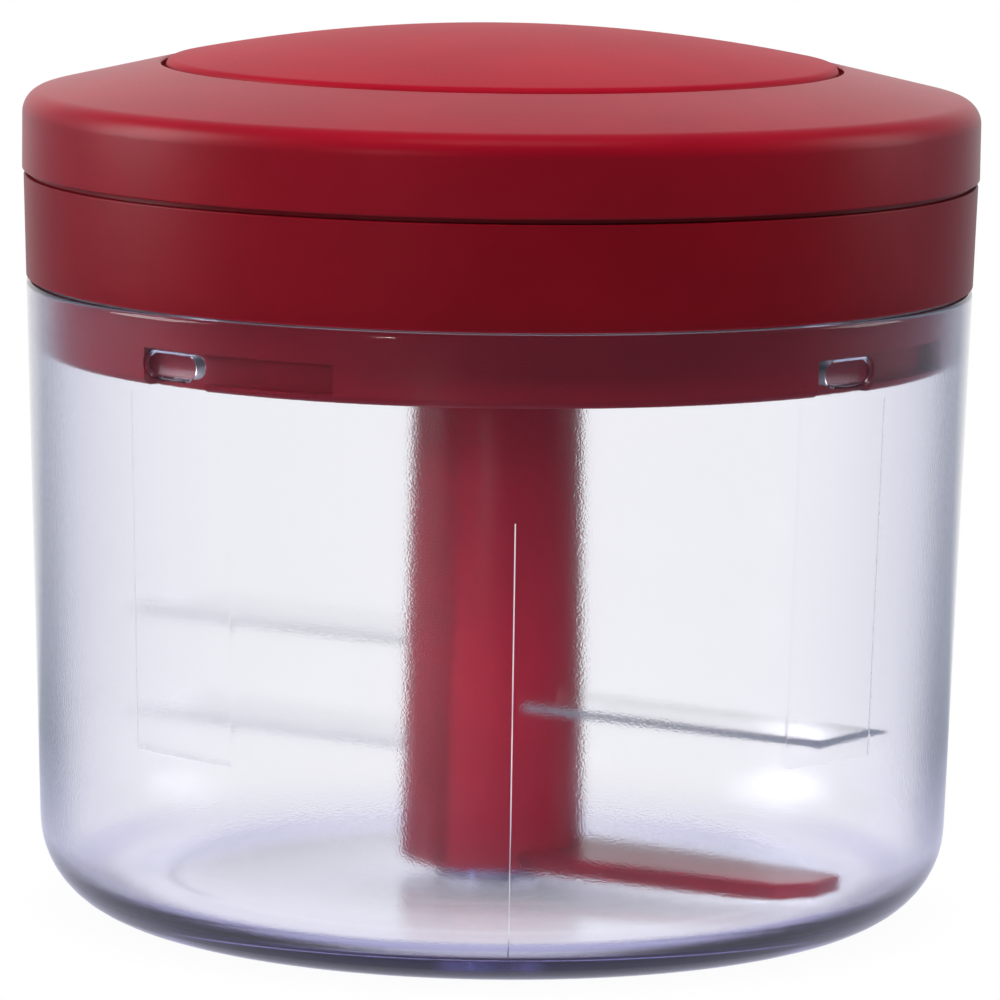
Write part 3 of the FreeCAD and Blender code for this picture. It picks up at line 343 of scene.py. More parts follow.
def carried(section: Array, path: Array) -> Array:
    """A closed section carried along a path. The section's x lies level and its y upwards, square to the path:
    side = tangent x up, rise = side x tangent.

    Args:
        section: Outline, shape (points, 2), or one outline for each point of the path, shape (path, points, 2).
        path: Points of the path, shape (path, 3).

    Returns:
        Grid of shape (path, points, 3).
    """
    way = np.gradient(path, axis=0)
    way /= np.linalg.norm(way, axis=1, keepdims=True)
    side = np.cross(way, [0, 0, 1.0])
    side /= np.linalg.norm(side, axis=1, keepdims=True)
    rise = np.cross(side, way)
    section = np.broadcast_to(section, (len(path), *section.shape[-2:]))
    return path[:, None] + section[..., :1] * side[:, None] + section[..., 1:] * rise[:, None]


def softened(name: str, node: str, material: bpy.types.Material, width: float, sharp: float = 25,
             flat: float = 0.6) -> bpy.types.Object:
    """A merged copy of a CAD node whose sharp edges are rounded.

    Args:
        name: Name of the object.
        node: The CAD node.
        material: Its material.
        width: Width of the rounding, in millimetres.
        sharp: Angle past which an edge is rounded, in degrees.
        flat: Angle under which faces count as one flat face, in degrees.

    Returns:
        The object.
    """
    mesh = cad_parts[node].data.copy()
    mesh.name = name
    mesh.materials.clear()
    mesh.materials.append(material)
    work = bmesh.new()
    work.from_mesh(mesh)
    bmesh.ops.remove_doubles(work, verts=work.verts, dist=CAD_WELD)
    bmesh.ops.dissolve_limit(work, angle_limit=math.radians(flat), verts=work.verts, edges=work.edges)
    for face in work.faces:
        face.material_index, face.smooth = 0, True
    work.to_mesh(mesh)
    work.free()
    mesh.set_sharp_from_angle(angle=math.radians(sharp))
    return bevelled(placed(name, mesh), width, segments=3, angle=sharp)


# Finishes


class Nodes:
    """A short way to write a material's nodes."""

    def __init__(self, material: bpy.types.Material) -> None:
        """Clears the material's own nodes.

        Args:
            material: The material to fill.
        """
        material.use_nodes = True
        self.tree = material.node_tree
        self.tree.nodes.clear()

    def add(self, kind: str, **values: object) -> bpy.types.Node:
        """Adds a node. A value that is a socket is linked, any other is set on the input or the property.

        Args:
            kind: Node type without its ShaderNode prefix.
            values: Inputs, by name with spaces as underscores, or properties.

        Returns:
            The node.
        """
        node = self.tree.nodes.new("ShaderNode" + kind)
        for key, value in values.items():
            label = key.replace("_", " ").lower()
            match = [s.name for s in node.inputs if s.name.lower() == label]
            if match:
                self.feed(node, {match[0]: value})
            else:
                setattr(node, key, value)
        return node

    def feed(self, node: bpy.types.Node, values: Mapping[int | str, object]) -> None:
        """Fills inputs of a node. A value that is a socket is linked, any other is set.

        Args:
            node: The node.
            values: Values by the number or the name of their input.
        """
        for key, value in values.items():
            if isinstance(value, Socket):
                self.tree.links.new(value, node.inputs[key])
            else:
                node.inputs[key].default_value = value

    def math(self, operation: str, first: Socket | float, second: Socket | float) -> Socket:
        """Result of an operation on two numbers.

        Args:
            operation: Its name in Blender.
            first: First number.
            second: Second number.

        Returns:
            The socket of the result.
        """
        node = self.add("Math", operation=operation)
        self.feed(node, {0: first, 1: second})
        return node.outputs[0]

    def mapped(self, value: Socket, source: Pair = (0.0, 1.0), target: Pair = (0.0, 1.0)) -> Socket:
        """A number carried from one range to another in proportion, and held at its ends.

        Args:
            value: The number.
            source: Range that it comes from.
            target: Range that it goes to.

        Returns:
            The socket of the result.
        """
        ends = dict(From_Min=source[0], From_Max=source[1], To_Min=target[0], To_Max=target[1])
        return self.add("MapRange", Value=value, **ends).outputs["Result"]

    def ramp(self, share: Socket, stops: Sequence[tuple[float, Sequence[float]]], stepped: bool = False) -> Socket:
        """Colour that goes by a number.

        Args:
            share: The number.
            stops: Number and colour of each stop, lowest first.
            stepped: Whether each colour holds up to the next stop, and isn't blended into the next.

        Returns:
            The socket of the colour.
        """
        node = self.add("ValToRGB", Fac=share)
        if stepped:
            node.color_ramp.interpolation = "CONSTANT"
        elements = node.color_ramp.elements
        for _ in stops[2:]:
            elements.new(0.5)
        for element, (place, colour) in zip(elements, stops):
            element.position, element.color = place, (*colour, 1)
        return node.outputs["Color"]

    def noise(self, place: Socket, scale: float, detail: float, roughness: float) -> Socket:
        """Smooth noise between 0 and 1.

        Args:
            place: Coordinates in metres.
            scale: Waves to a metre.
            detail: Finer layers on top.
            roughness: Share of each finer layer.

        Returns:
            The socket of the noise.
        """
        return self.add("TexNoise", Vector=place, Scale=scale, Detail=detail, Roughness=roughness).outputs["Fac"]

    def bump(self, height: Socket, strength: Socket | float, depth: float, sunk: bool = False) -> Socket:
        """Normal of a face with fine relief.

        Args:
            height: Height, between 0 and 1.
            strength: Share of the relief.
            depth: Depth of the relief, in millimetres.
            sunk: Whether high places are sunk instead of raised.

        Returns:
            The socket of the normal.
        """
        return self.add("Bump", Height=height, Strength=strength, Distance=depth * MM, invert=sunk).outputs["Normal"]

    def blend(self, kind: str, share: Socket, first: Socket, second: Triple) -> Socket:
        """A colour blended with a fixed one.

        Args:
            kind: Blender's name of the blend.
            share: Share of the fixed colour.
            first: The colour.
            second: The fixed colour.

        Returns:
            The socket of the colour.
        """
        node = self.add("Mix", data_type="RGBA", blend_type=kind)
        self.feed(node, {0: share, 6: first, 7: (*second, 1)})
        return node.outputs[2]

    def mix(self, share: Socket, first: bpy.types.Node, second: bpy.types.Node) -> Socket:
        """Two shaders mixed.

        Args:
            share: Share of the second.
            first: Node of the first shader.
            second: Node of the second shader.

        Returns:
            The socket of the mix.
        """
        node = self.add("MixShader", Fac=share)
        self.feed(node, {1: first.outputs[0], 2: second.outputs[0]})
        return node.outputs[0]

    def coordinates(self, scale: Triple = (1, 1, 1), turn: float = 0.0) -> Socket:
        """Object coordinates, turned about the upright axis and scaled.

        Args:
            scale: Scale along each axis.
            turn: Degrees about the upright axis.

        Returns:
            The vector socket.
        """
        place = self.add("TexCoord").outputs["Object"]
        place = self.add("Mapping", Vector=place, Rotation=(0, 0, math.radians(turn))).outputs[0]
        return place if scale == (1, 1, 1) else self.add("Mapping", Vector=place, Scale=scale).outputs[0]

    def surface(self, shader: Socket, kind: str = "OutputMaterial", **volume: Socket) -> None:
        """Sends shaders to the output.

        Args:
            shader: Surface shader.
            kind: Type of the output's node.
            volume: Volume shader, if there is one, under the name Volume.
        """
        self.add(kind, Surface=shader, **volume)


@dataclass(frozen=True)
class MouldedPlastic:
    """Opaque moulded plastic with spark-eroded grain and a faint cloudiness of its colour."""

    name: str
    colour: Triple
    roughness: float = 0.42
    grain: float = 0.22
    depth: float = 0.004
    cloud: float = 0.06
    specular: float = 0.15

    def build(self) -> bpy.types.Material:
        """Colour: base times 1 -/+ cloud by slow noise. Bump: fine noise of the grain's width.

        Returns:
            The material.
        """
        material = bpy.data.materials.new(self.name)
        sheet = Nodes(material)
        place = sheet.coordinates()
        dark, light = (tuple(min(1, c * (1 + way * self.cloud)) for c in self.colour) for way in (-1, 1))
        colour = sheet.ramp(sheet.noise(place, 60.0, 3.0, 0.6), ((0.35, dark), (0.65, light)))
        fine = sheet.noise(place, 1000 / self.grain, 2.0, 0.55)
        gloss = sheet.mapped(fine, target=(self.roughness - 0.05, self.roughness + 0.05))
        shader = sheet.add("BsdfPrincipled", Base_Color=colour, Roughness=gloss, IOR=1.5,
                           Specular_IOR_Level=self.specular, Normal=sheet.bump(fine, 0.5, self.depth))
        sheet.surface(shader.outputs[0])
        return material


@dataclass(frozen=True)
class ClearPlastic:
    """Clear moulded plastic that tints what passes through its thickness. Four numbers give the roughness and
    the grain's depth of its polished faces, its frosted faces, its mould lines and its thick foot. Its colour
    darkens at slanting faces, a painted shade, and turns blue on the foot's slanting faces: the thick plastic's
    tint with painted shade."""

    name: str
    roughness: tuple[float, ...] = (0.015, 0.14, 0.2, 0.03)  # by finish number
    depth: tuple[float, ...] = (0.0005, 0.013, 0.007, 0.0005)  # by finish number
    foot: Triple = (0.30, 0.26, 0.72)  # colour that slanting faces of the foot pass: the thick plastic's blue with painted shade
    foot_turn: Pair = (0.1, 0.4)  # slant at which it starts and is full
    grain: float = 0.26
    tint: Triple = (0.40, 0.38, 0.94)
    density: float = 20.0
    ior: float = 1.38
    # skin and edge: colour of faces seen head-on and at a slant; the darker edge is painted shade
    skin: Triple = (1.0, 1.0, 1.0)
    edge: Triple = (0.88, 0.88, 0.94)
    turn: Pair = (0.22, 0.8)  # slant at which skin starts to turn to edge, the painted shade of slanting faces, and ends
    passes: Triple = (0.95, 0.95, 0.97)  # share of lamp light and diffuse light

    def by_finish(self, sheet: "Nodes", values: tuple[float, ...]) -> Socket:
        """One of four numbers, by the finish stored on the face.

        Args:
            sheet: The material's nodes.
            values: Numbers for finish 0 to 3.

        Returns:
            The socket of the number.
        """
        stored = sheet.add("Attribute", attribute_name="finish").outputs["Fac"]
        stops = [(max(number / len(Face) - 0.125, 0.0), (value,) * 3) for number, value in enumerate(values)]
        return sheet.ramp(sheet.math("MULTIPLY", stored, 1 / len(Face)), stops, True)

    def build(self) -> bpy.types.Material:
        """Refraction with fine noise as bump, over an absorbing volume. Lamp light and diffuse light go straight
        through, as they nearly do through a thin wall. The colour darkens at slanting faces, a painted shade, and
        more so on the foot, where it turns blue: the thick plastic's tint with painted shade.

        Returns:
            The material.
        """
        material = bpy.data.materials.new(self.name)
        sheet = Nodes(material)
        fine = sheet.noise(sheet.coordinates(), 1000 / self.grain, 1.0, 0.5)
        gloss = sheet.math("MULTIPLY", sheet.mapped(fine, target=(0.8, 1.2)), self.by_finish(sheet, self.roughness))
        deepest = max(self.depth)
        relief = sheet.bump(fine, self.by_finish(sheet, tuple(d / deepest for d in self.depth)), deepest)
        # slanting faces darken: painted shade at the bowl's edges
        askew = sheet.add("LayerWeight", Blend=0.5).outputs["Facing"]
        rim = sheet.ramp(askew, tuple(zip(self.turn, (self.skin, self.edge))))
        # the foot's slanting faces turn blue: partly the thick plastic's tint, partly painted shade
        on_foot = self.by_finish(sheet, tuple(float(face is Face.FOOT) for face in Face))
        below = sheet.math("MULTIPLY", sheet.mapped(askew, self.foot_turn), on_foot)
        thick = sheet.blend("MULTIPLY", below, rim, self.foot)
        shader = sheet.add("BsdfPrincipled", Base_Color=thick, Roughness=gloss, IOR=self.ior, Transmission_Weight=1.0,
                           Normal=relief)
        path = sheet.add("LightPath").outputs
        passing = sheet.math("MAXIMUM", path["Is Shadow Ray"], path["Is Diffuse Ray"])
        clear = sheet.add("BsdfTransparent", Color=(*self.passes, 1))
        inside = sheet.add("VolumeAbsorption", Color=(*self.tint, 1), Density=self.density)
        sheet.surface(sheet.mix(passing, shader, clear), Volume=inside.outputs[0])
        return material


@dataclass(frozen=True)
class WorkedSteel:
    """Steel with the fine lines of its working along one direction."""

    name: str
    colour: Triple = (0.83, 0.84, 0.87)
    roughness: float = 0.3
    line: float = 0.12
    heading: float = 0.0
    stretch: float = 40.0
    depth: float = 0.002

    def build(self) -> bpy.types.Material:
        """Noise squeezed across the heading gives lines, which move the gloss, the colour and the bump.

        Returns:
            The material.
        """
        material = bpy.data.materials.new(self.name)
        sheet = Nodes(material)
        place = sheet.coordinates((1 / self.stretch, 1, 1), -self.heading)
        lines = sheet.noise(place, 1000 / self.line, 4.0, 0.65)
        dark, light = (tuple(min(1, c * share) for c in self.colour) for share in (0.9, 1.08))
        colour = sheet.ramp(sheet.noise(sheet.coordinates(), 90.0, 3.0, 0.6), ((0.0, dark), (1.0, light)))
        gloss = sheet.mapped(lines, target=(self.roughness - 0.08, self.roughness + 0.12))
        shader = sheet.add("BsdfPrincipled", Base_Color=colour, Roughness=gloss, Metallic=1.0,
                           Normal=sheet.bump(lines, 0.5, self.depth))
        sheet.surface(shader.outputs[0])
        return material


@dataclass(frozen=True)
class BraidedCord:
    """Fine polyester braid: small raised cells, with painted shade where they meet."""

    name: str
    colour: Triple = (0.72, 0.70, 0.66)
    cell: float = 0.45
    depth: float = 0.12

    def build(self) -> bpy.types.Material:
        """Distance to the cells of a Voronoi pattern gives the height and a painted shade in the creases.

        Returns:
            The material.
        """
        material = bpy.data.materials.new(self.name)
        sheet = Nodes(material)
        cells = sheet.add("TexVoronoi", Vector=sheet.coordinates(), Scale=1000 / self.cell).outputs["Distance"]
        # darker where cells meet: painted shade in the braid's creases
        colour = sheet.ramp(cells, ((0.0, self.colour), (1.0, tuple(c * 0.55 for c in self.colour))))
        shader = sheet.add("BsdfPrincipled", Base_Color=colour, Roughness=0.85, Sheen_Weight=0.3,
                           Normal=sheet.bump(cells, 0.8, self.depth, True))
        sheet.surface(shader.outputs[0])
        return material


Finish = MouldedPlastic | ClearPlastic | WorkedSteel | BraidedCord
CLEAR_WALL = ClearPlastic("clear moulded plastic")
RING_RED = MouldedPlastic("satin red ring", (0.23, 0.003, 0.011), 0.40, 0.25, 0.004)
# the plug is one part with the ring; its lighter red is painted light for light reaching it through the bowl
PLUG_RED_PAINTED_LIGHT = MouldedPlastic("satin red plug painted lighter", (0.34, 0.010, 0.026), 0.40, 0.25, 0.004)
COVER_RED = MouldedPlastic("satin red cover", (0.28, 0.003, 0.013), 0.36, 0.22, 0.005, specular=0.22)
PAD_RED = MouldedPlastic("grained red pad", (0.33, 0.004, 0.016), 0.48, 0.30, 0.012)
# the column's red is lighter than the lid's: its own red plus painted light for light reaching it through the bowl
COLUMN_RED_PAINTED_LIGHTER = MouldedPlastic("smooth red column painted lighter", (0.38, 0.014, 0.036), 0.22, 0.5, 0.003)
BAY_RED = MouldedPlastic("satin red bay", (0.26, 0.004, 0.014), 0.45, 0.22, 0.005)
NATURAL = MouldedPlastic("natural slippery plastic", (0.72, 0.70, 0.64), 0.38, 0.4, 0.003)
SILICONE = MouldedPlastic("soft clear seal", (0.62, 0.60, 0.58), 0.55, 0.5, 0.004)
BLADE_STEEL = WorkedSteel("ground blade steel", (0.95, 0.95, 0.97), 0.14, heading=BLADE_HEADING)
TURNED_STEEL = WorkedSteel("turned steel", roughness=0.25, stretch=1.0, line=0.3)
SPRING_STEEL = WorkedSteel("blued spring steel", (0.30, 0.32, 0.37), 0.3, 0.2)
CORD_BRAID = BraidedCord("pale cord braid")


class Assembly:
    """What every sub-assembly shares: its finished pieces ride on one body and are reported."""

    body: Body
    made: ClassVar[dict[str, bpy.types.Material]] = {}

    def finish(self, kind: Finish) -> bpy.types.Material:
        """The material of a finish, made once.

        Args:
            kind: The finish.

        Returns:
            Its material.
        """
        if kind.name not in self.made:
            self.made[kind.name] = kind.build()
        return self.made[kind.name]

    def fit(self, thing: bpy.types.Object, slot: str, *nodes: str) -> bpy.types.Object:
        """Lets a piece ride on this assembly's body and stand for CAD nodes.

        Args:
            thing: The piece.
            slot: The record's material slot; not used.
            nodes: CAD nodes that it stands for.

        Returns:
            The piece.
        """
        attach(thing, self.body.value)
        if nodes:
            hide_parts(*nodes)
        log.info("%s: %d faces, rides on %s", thing.name, len(thing.data.polygons), self.body.value)
        return thing

    def dress(self, kind: Finish, *nodes: str) -> None:
        """Gives CAD nodes that keep their shape a finish.

        Args:
            kind: The finish.
            nodes: The CAD nodes.
        """
        for node in nodes:
            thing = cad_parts[node]
            thing.data.materials.clear()
            thing.data.materials.append(self.finish(kind))
            log.info("%s: CAD node in %s", node, kind.name)


@dataclass
class Bowl(Assembly):
    """Clear tapered bowl with its thick foot, pin boss, bayonet lugs and mould lines."""

    body: Body = Body.BOWL
    height: float = 83.0
    rim_radius: float = 61.9
    base_radius: float = 59.4
    wall: float = 2.4
    floor: float = 4.5
    foot_round: float = 12.0
    floor_round: float = 7.0
    foot_start: float = 52.0
    rim_round: float = 0.7
    recess_radius: float = 42.0
    recess_depth: float = 0.6
    boss_radius: float = 7.0
    boss_rise: float = 1.6
    pin_radius: float = 3.0
    pin_seat: float = 4.4
    lug_size: Triple = (8.8, 3.2, 2.2)  # width, height, reach
    lug_height: float = 76.5
    lug_turns: tuple[float, ...] = LUG_TURNS
    panels: tuple[Pair, ...] = ((-140.1, -124.85), (-54.5, -40.0))  # headings of each panel's sides
    panel_rows: Pair = (27.2, 73.0)  # heights of their ends
    line_heading: float = -89.8
    line_rows: Pair = (2.5, 59.7)  # heights of the front line's ends
    line_width: float = 0.14
    line_depth: Pair = (0.07, 0.025)  # of the front line, of the panels' lines
    columns: int = 288
    patch_columns: int = 20
    wall_rows: tuple[float, float, int] = (12.0, 82.0, 29)  # lowest, highest, count
    lug_rows: Triple = (-3.0, 3.1, 0.4)  # from and to about a lug's middle, step
    patch: float = 1.4  # wall that is opened round a lug
    lug_round: float = 0.45
    lug_foot: float = 0.25

    def lean(self) -> float:
        """Radius gained per millimetre of height."""
        return (self.rim_radius - self.base_radius) / self.height

    def profile(self) -> Array:
        """Closed half section, from the middle of the underside round the rim to the bottom of the pin's seat.

        Returns:
            Radius and height of its points.
        """
        inner_rim, top = self.rim_radius - self.wall, self.floor + self.boss_rise
        inner_base = self.base_radius + self.floor * self.lean() - self.wall
        corners = [
            (0, self.recess_depth), (self.recess_radius, self.recess_depth, 0.4), (self.recess_radius + 0.5, 0, 0.4),
            (self.base_radius, 0, self.foot_round), (self.rim_radius, self.height, self.rim_round),
            (inner_rim, self.height, 0.5), (inner_base, self.floor, self.floor_round),
            (self.boss_radius, self.floor, 0.8), (self.boss_radius, top, 0.5), (self.pin_radius, top),
            (self.pin_radius, top - self.pin_seat), (0, top - self.pin_seat)]
        rows = [np.linspace(*self.wall_rows), self.line_edges(*self.line_rows, *self.panel_rows),
                np.arange(*self.lug_rows) + self.lug_height]
        return with_rows(rounded(corners, 12), np.concatenate(rows))

    def line_edges(self, *places: float) -> Array:
        """The two edges and the middle of a mould line at each of some heights, in millimetres."""
        half = self.line_width / 2
        return np.concatenate([[p - half, p, p + half] for p in places])

    def heading_edges(self, *headings: float) -> Array:
        """The two edges and the middle of a mould line at each of some headings, in degrees."""
        half = math.degrees(self.line_width / 2 / self.rim_radius)
        return np.concatenate([[h - half, h, h + half] for h in headings])

    def shell(self) -> Shell:
        """The turned wall with its mould lines sunk into the outer face.

        The radius of an outer point falls by the line's depth at the middle of a line and stays at its edges,
        so each line is a shallow groove. The grid has rows and columns at those edges. Lugs replace square
        patches of the inner face.

        Returns:
            The closed shell, with its faces numbered by their finish.
        """
        headings = [self.line_heading] + [edge for panel in self.panels for edge in panel]
        blocks = [self.lug_block(turn) for turn in self.lug_turns]
        patches = [np.linspace(*block, self.patch_columns) for block in blocks]
        angles = around(self.columns, np.concatenate([self.heading_edges(*headings), *patches]))
        profile = self.profile()
        rim = int(np.argmax(profile[:, 1]))
        grid = turned(profile, angles)
        outer = np.arange(len(profile)) < rim
        z, depth = profile[:, 1], np.zeros((len(angles), len(profile)))
        for heading in headings:
            low, high = self.line_rows if heading == self.line_heading else self.panel_rows
            column = np.isclose(np.mod(angles - heading + 180, 360), 180, atol=SAME_COLUMN)
            sunk = column[:, None] & (outer & (z > low - SAME_ROW) & (z < high + SAME_ROW))[None]
            depth[sunk] = self.line_depth[heading != self.line_heading]
        for first, last in self.panels:
            span = np.mod(angles - first, 360) <= last - first + SAME_COLUMN
            depth[span[:, None] & (outer & np.isclose(z, self.panel_rows[0]))[None]] = self.line_depth[1]
        length = np.linalg.norm(grid[..., :2], axis=-1, keepdims=True)
        grid[..., :2] *= 1 - depth[..., None] / np.maximum(length, 1)
        near = (depth > 0) | (np.roll(depth, -1, 0) > 0)
        near = near[:, :-1] | near[:, 1:]
        finish = np.where(outer[:-1], Face.POLISHED, Face.FROSTED)[None] + np.zeros((len(angles), 1), int)
        finish[near & (finish == Face.POLISHED)] = Face.LINE
        finish[:, outer[:-1] & (z[:-1] < self.floor) & (profile[:-1, 0] > self.foot_start)] = Face.FOOT
        return self.with_lugs(grid, finish, angles, profile, rim)

    def lug_block(self, turn: float) -> Pair:
        """Headings between which one lug's patch lies, in degrees."""
        half = math.degrees((self.lug_size[0] / 2 + self.patch) / (self.rim_radius - self.wall))
        return turn - half, turn + half

    def with_lugs(self, grid: Array, finish: Array, angles: Array, profile: Array, rim: int) -> Shell:
        """Opens a patch of the inner wall round each lug and joins its edge to the lug's rings.

        A ring keeps the order of the patch's edge points: each is moved to the nearest point of the racetrack
        outline, which is the line of centres plus the end radius along the way out.

        Args:
            grid: Points of the whole wall.
            finish: Finish numbers of its quads.
            angles: Headings of its columns.
            profile: Half section.
            rim: Row of the rim.

        Returns:
            The shell with the lugs.
        """
        wide, tall, reach = self.lug_size
        z = profile[:, 1]
        rows = np.where((np.arange(len(z)) > rim) & (z > self.lug_height - tall / 2 - self.patch) &
                        (z < self.lug_height + tall / 2 + self.patch))[0]
        low, high = rows.min(), rows.max()
        body, keep, lugs = Shell.grid(grid, finish=finish), np.ones(finish.shape, bool), []
        for turn in self.lug_turns:
            first, last = self.lug_block(turn)
            inside = np.where(np.mod(angles - first + SAME_COLUMN, 360) <= last - first + 2 * SAME_COLUMN)[0]
            keep[np.ix_(inside[:-1], np.arange(low, high))] = False
            edge = np.concatenate([grid[inside[:-1], low], grid[inside[-1], low:high], grid[inside[:0:-1], high],
                                   grid[inside[0], high:low:-1]])
            lugs.append(self.lug(edge, turn, wide, tall, reach))
        kept = keep.reshape(-1)
        body = Shell(body.points, [f for f, k in zip(body.faces, kept) if k],
                     [n for n, k in zip(body.finish, kept) if k])
        return Shell.join([body] + lugs)

    def lug(self, edge: Array, turn: float, wide: float, tall: float, reach: float) -> Shell:
        """Rings from the patch's edge to the lug's foot, up its side, over its rounding and to its middle.

        Args:
            edge: Points round the patch.
            turn: Heading of the lug.
            wide: Width of its outline.
            tall: Height of its outline.
            reach: How far it stands out of the wall.

        Returns:
            The open shell of rings.
        """
        t = math.radians(turn)
        outwards, side = np.array([math.cos(t), math.sin(t), 0]), np.array([-math.sin(t), math.cos(t), 0])
        across, up = edge @ side, edge[:, 2] - self.lug_height
        core = wide / 2 - tall / 2
        hub = np.clip(across, -core, core)
        way = np.stack([across - hub, up], -1)
        way /= np.linalg.norm(way, axis=-1, keepdims=True)
        face = (self.rim_radius - self.wall) - (self.height - self.lug_height) * self.lean() - reach
        rings, upwards = [edge], np.array([0, 0, 1.0])
        sizes = [(tall / 2 + self.lug_foot, 0.0), (tall / 2, self.lug_foot)]
        sizes += [(tall / 2 - self.lug_round * (1 - math.cos(a)), reach - self.lug_round * (1 - math.sin(a)))
                  for a in np.linspace(0, math.pi / 2, 5)]
        for size, rise in sizes:
            x, y = hub + way[:, 0] * size, way[:, 1] * size
            wall = self.rim_radius - self.wall - (self.height - self.lug_height - y) * self.lean()
            depth = np.sqrt(np.maximum(wall ** 2 - x ** 2, 0)) * (1 - rise / reach) + face * rise / reach
            rings.append(outwards * depth[:, None] + side * x[:, None] + upwards * (y + self.lug_height)[:, None])
        rings.append(outwards * face + side * hub[:, None] + upwards * self.lug_height)
        sides = np.where(np.isin(np.arange(len(rings) - 1), (0, len(rings) - 2)), Face.FROSTED, Face.POLISHED)
        return Shell.grid(np.stack(rings, 1), finish=sides[None] + np.zeros((len(edge), 1), int))

    def build(self) -> None:
        """Makes the bowl and dresses its pin."""
        self.fit(piece("bowl_clear", self.shell(), [self.finish(CLEAR_WALL)]), "clear_plastic", "bowl")
        self.dress(TURNED_STEEL, "centre_pin")


@dataclass
class BladeUnit(Assembly):
    """Red column with a scraper paddle and stacked ground blades."""

    body: Body = Body.BLADES
    heading: float = BLADE_HEADING
    foot: float = 6.4
    top: float = 73.3
    foot_radius: float = 12.1
    top_radius: float = 11.1
    socket: Pair = (7.7, 61.3)  # radius, height of its floor
    bore: Pair = (3.06, 19.1)  # radius, height of its top
    dog: Pair = (4.5, 2.6)  # distance from the axis, width
    reach: float = 54.6
    skew: float = 1.2
    width: float = 14.7
    thick: float = 1.0
    bevel: Pair = (3.2, 0.7)  # width, depth
    levels: tuple[float, ...] = (21.3, 28.25, 35.2)
    paddle: tuple[float, float, float, float] = (50.4, 16.0, 10.5, 2.6)  # reach, widths at root and tip, thickness
    paddle_start: float = 5.0
    tip_corner: Pair = (3.6, 1.8)  # cut off the paddle's tip, rounding
    blade_start: float = 8.5
    dog_root: float = 0.6
    top_bevel: float = 0.8

    def column(self) -> Shell:
        """Turned column with an open socket above, the pin's bore below and two dogs in the socket.

        Returns:
            The shell.
        """
        bore, bore_top = self.bore
        wide, floor = self.socket
        core = lathe([(0, bore_top), (bore, bore_top), (bore, self.foot), (self.foot_radius, self.foot, 0.5),
                      (self.top_radius, self.top, self.top_bevel), (wide, self.top, 0.5), (wide, floor), (0, floor)],
                     count=128, steps=6, closed=False)
        inner, broad = self.dog
        root, half = wide + self.dog_root, broad / 2
        plan = np.array([(inner, -half), (root, -half), (root, half), (inner, half)])
        dogs = [prism(plan, floor, self.top - self.top_bevel).turned_by(self.heading + 180 * i) for i in range(2)]
        return Shell.join([core, *dogs])

    def scraper(self) -> Shell:
        """Flat paddle with a rounded tip, widest at the column.

        Returns:
            The shell.
        """
        reach, root, tip, thick = self.paddle
        start, (cut, soft) = self.paddle_start, self.tip_corner
        plan = rounded([(start, -root / 2), (reach - cut, -tip / 2, soft), (reach, -tip / 2 + cut, soft),
                        (reach, tip / 2, soft), (start, root / 2)], 8, True)
        return prism(plan, self.foot, self.foot + thick).turned_by(self.heading)

    def blade(self, level: float, turn: float) -> Shell:
        """One blade: its section across the width is carried along its length, and its tip is cut askew.

        Args:
            level: Height of its middle plane.
            turn: Heading of its tip.

        Returns:
            The shell.
        """
        half, low, high = self.width / 2, level - self.thick / 2, level + self.thick / 2
        run, drop = self.bevel
        section = np.array([(-half, low), (-half, high), (half - run, high), (half, high - drop), (half, low)])
        tip = self.reach - self.skew * (half - section[:, 0]) / self.width
        along = self.blade_start + np.linspace(0, 1, 12)[:, None] * (tip[None] - self.blade_start)
        grid = np.stack([along, *(np.broadcast_to(section[:, i], along.shape) for i in (0, 1))], -1)
        return Shell.grid(grid, wrap_u=False, wrap_v=True, caps=True).turned_by(turn)

    def build(self) -> None:
        """Makes the column, its paddle and the blades."""
        red, steel = self.finish(COLUMN_RED_PAINTED_LIGHTER), self.finish(BLADE_STEEL)
        whole = Shell.join([self.column(), self.scraper()])
        self.fit(piece("column_moulded", whole, [red], bevel=0.35), "column_plastic", "blade_column")
        for name, level, side in zip(("lower", "middle", "upper"), self.levels, (180, 0, 180)):
            made = piece(f"blade_{name}_ground", self.blade(level, self.heading + side), [steel], bevel=0.05)
            self.fit(made, "blade_steel", f"blade_{name}")


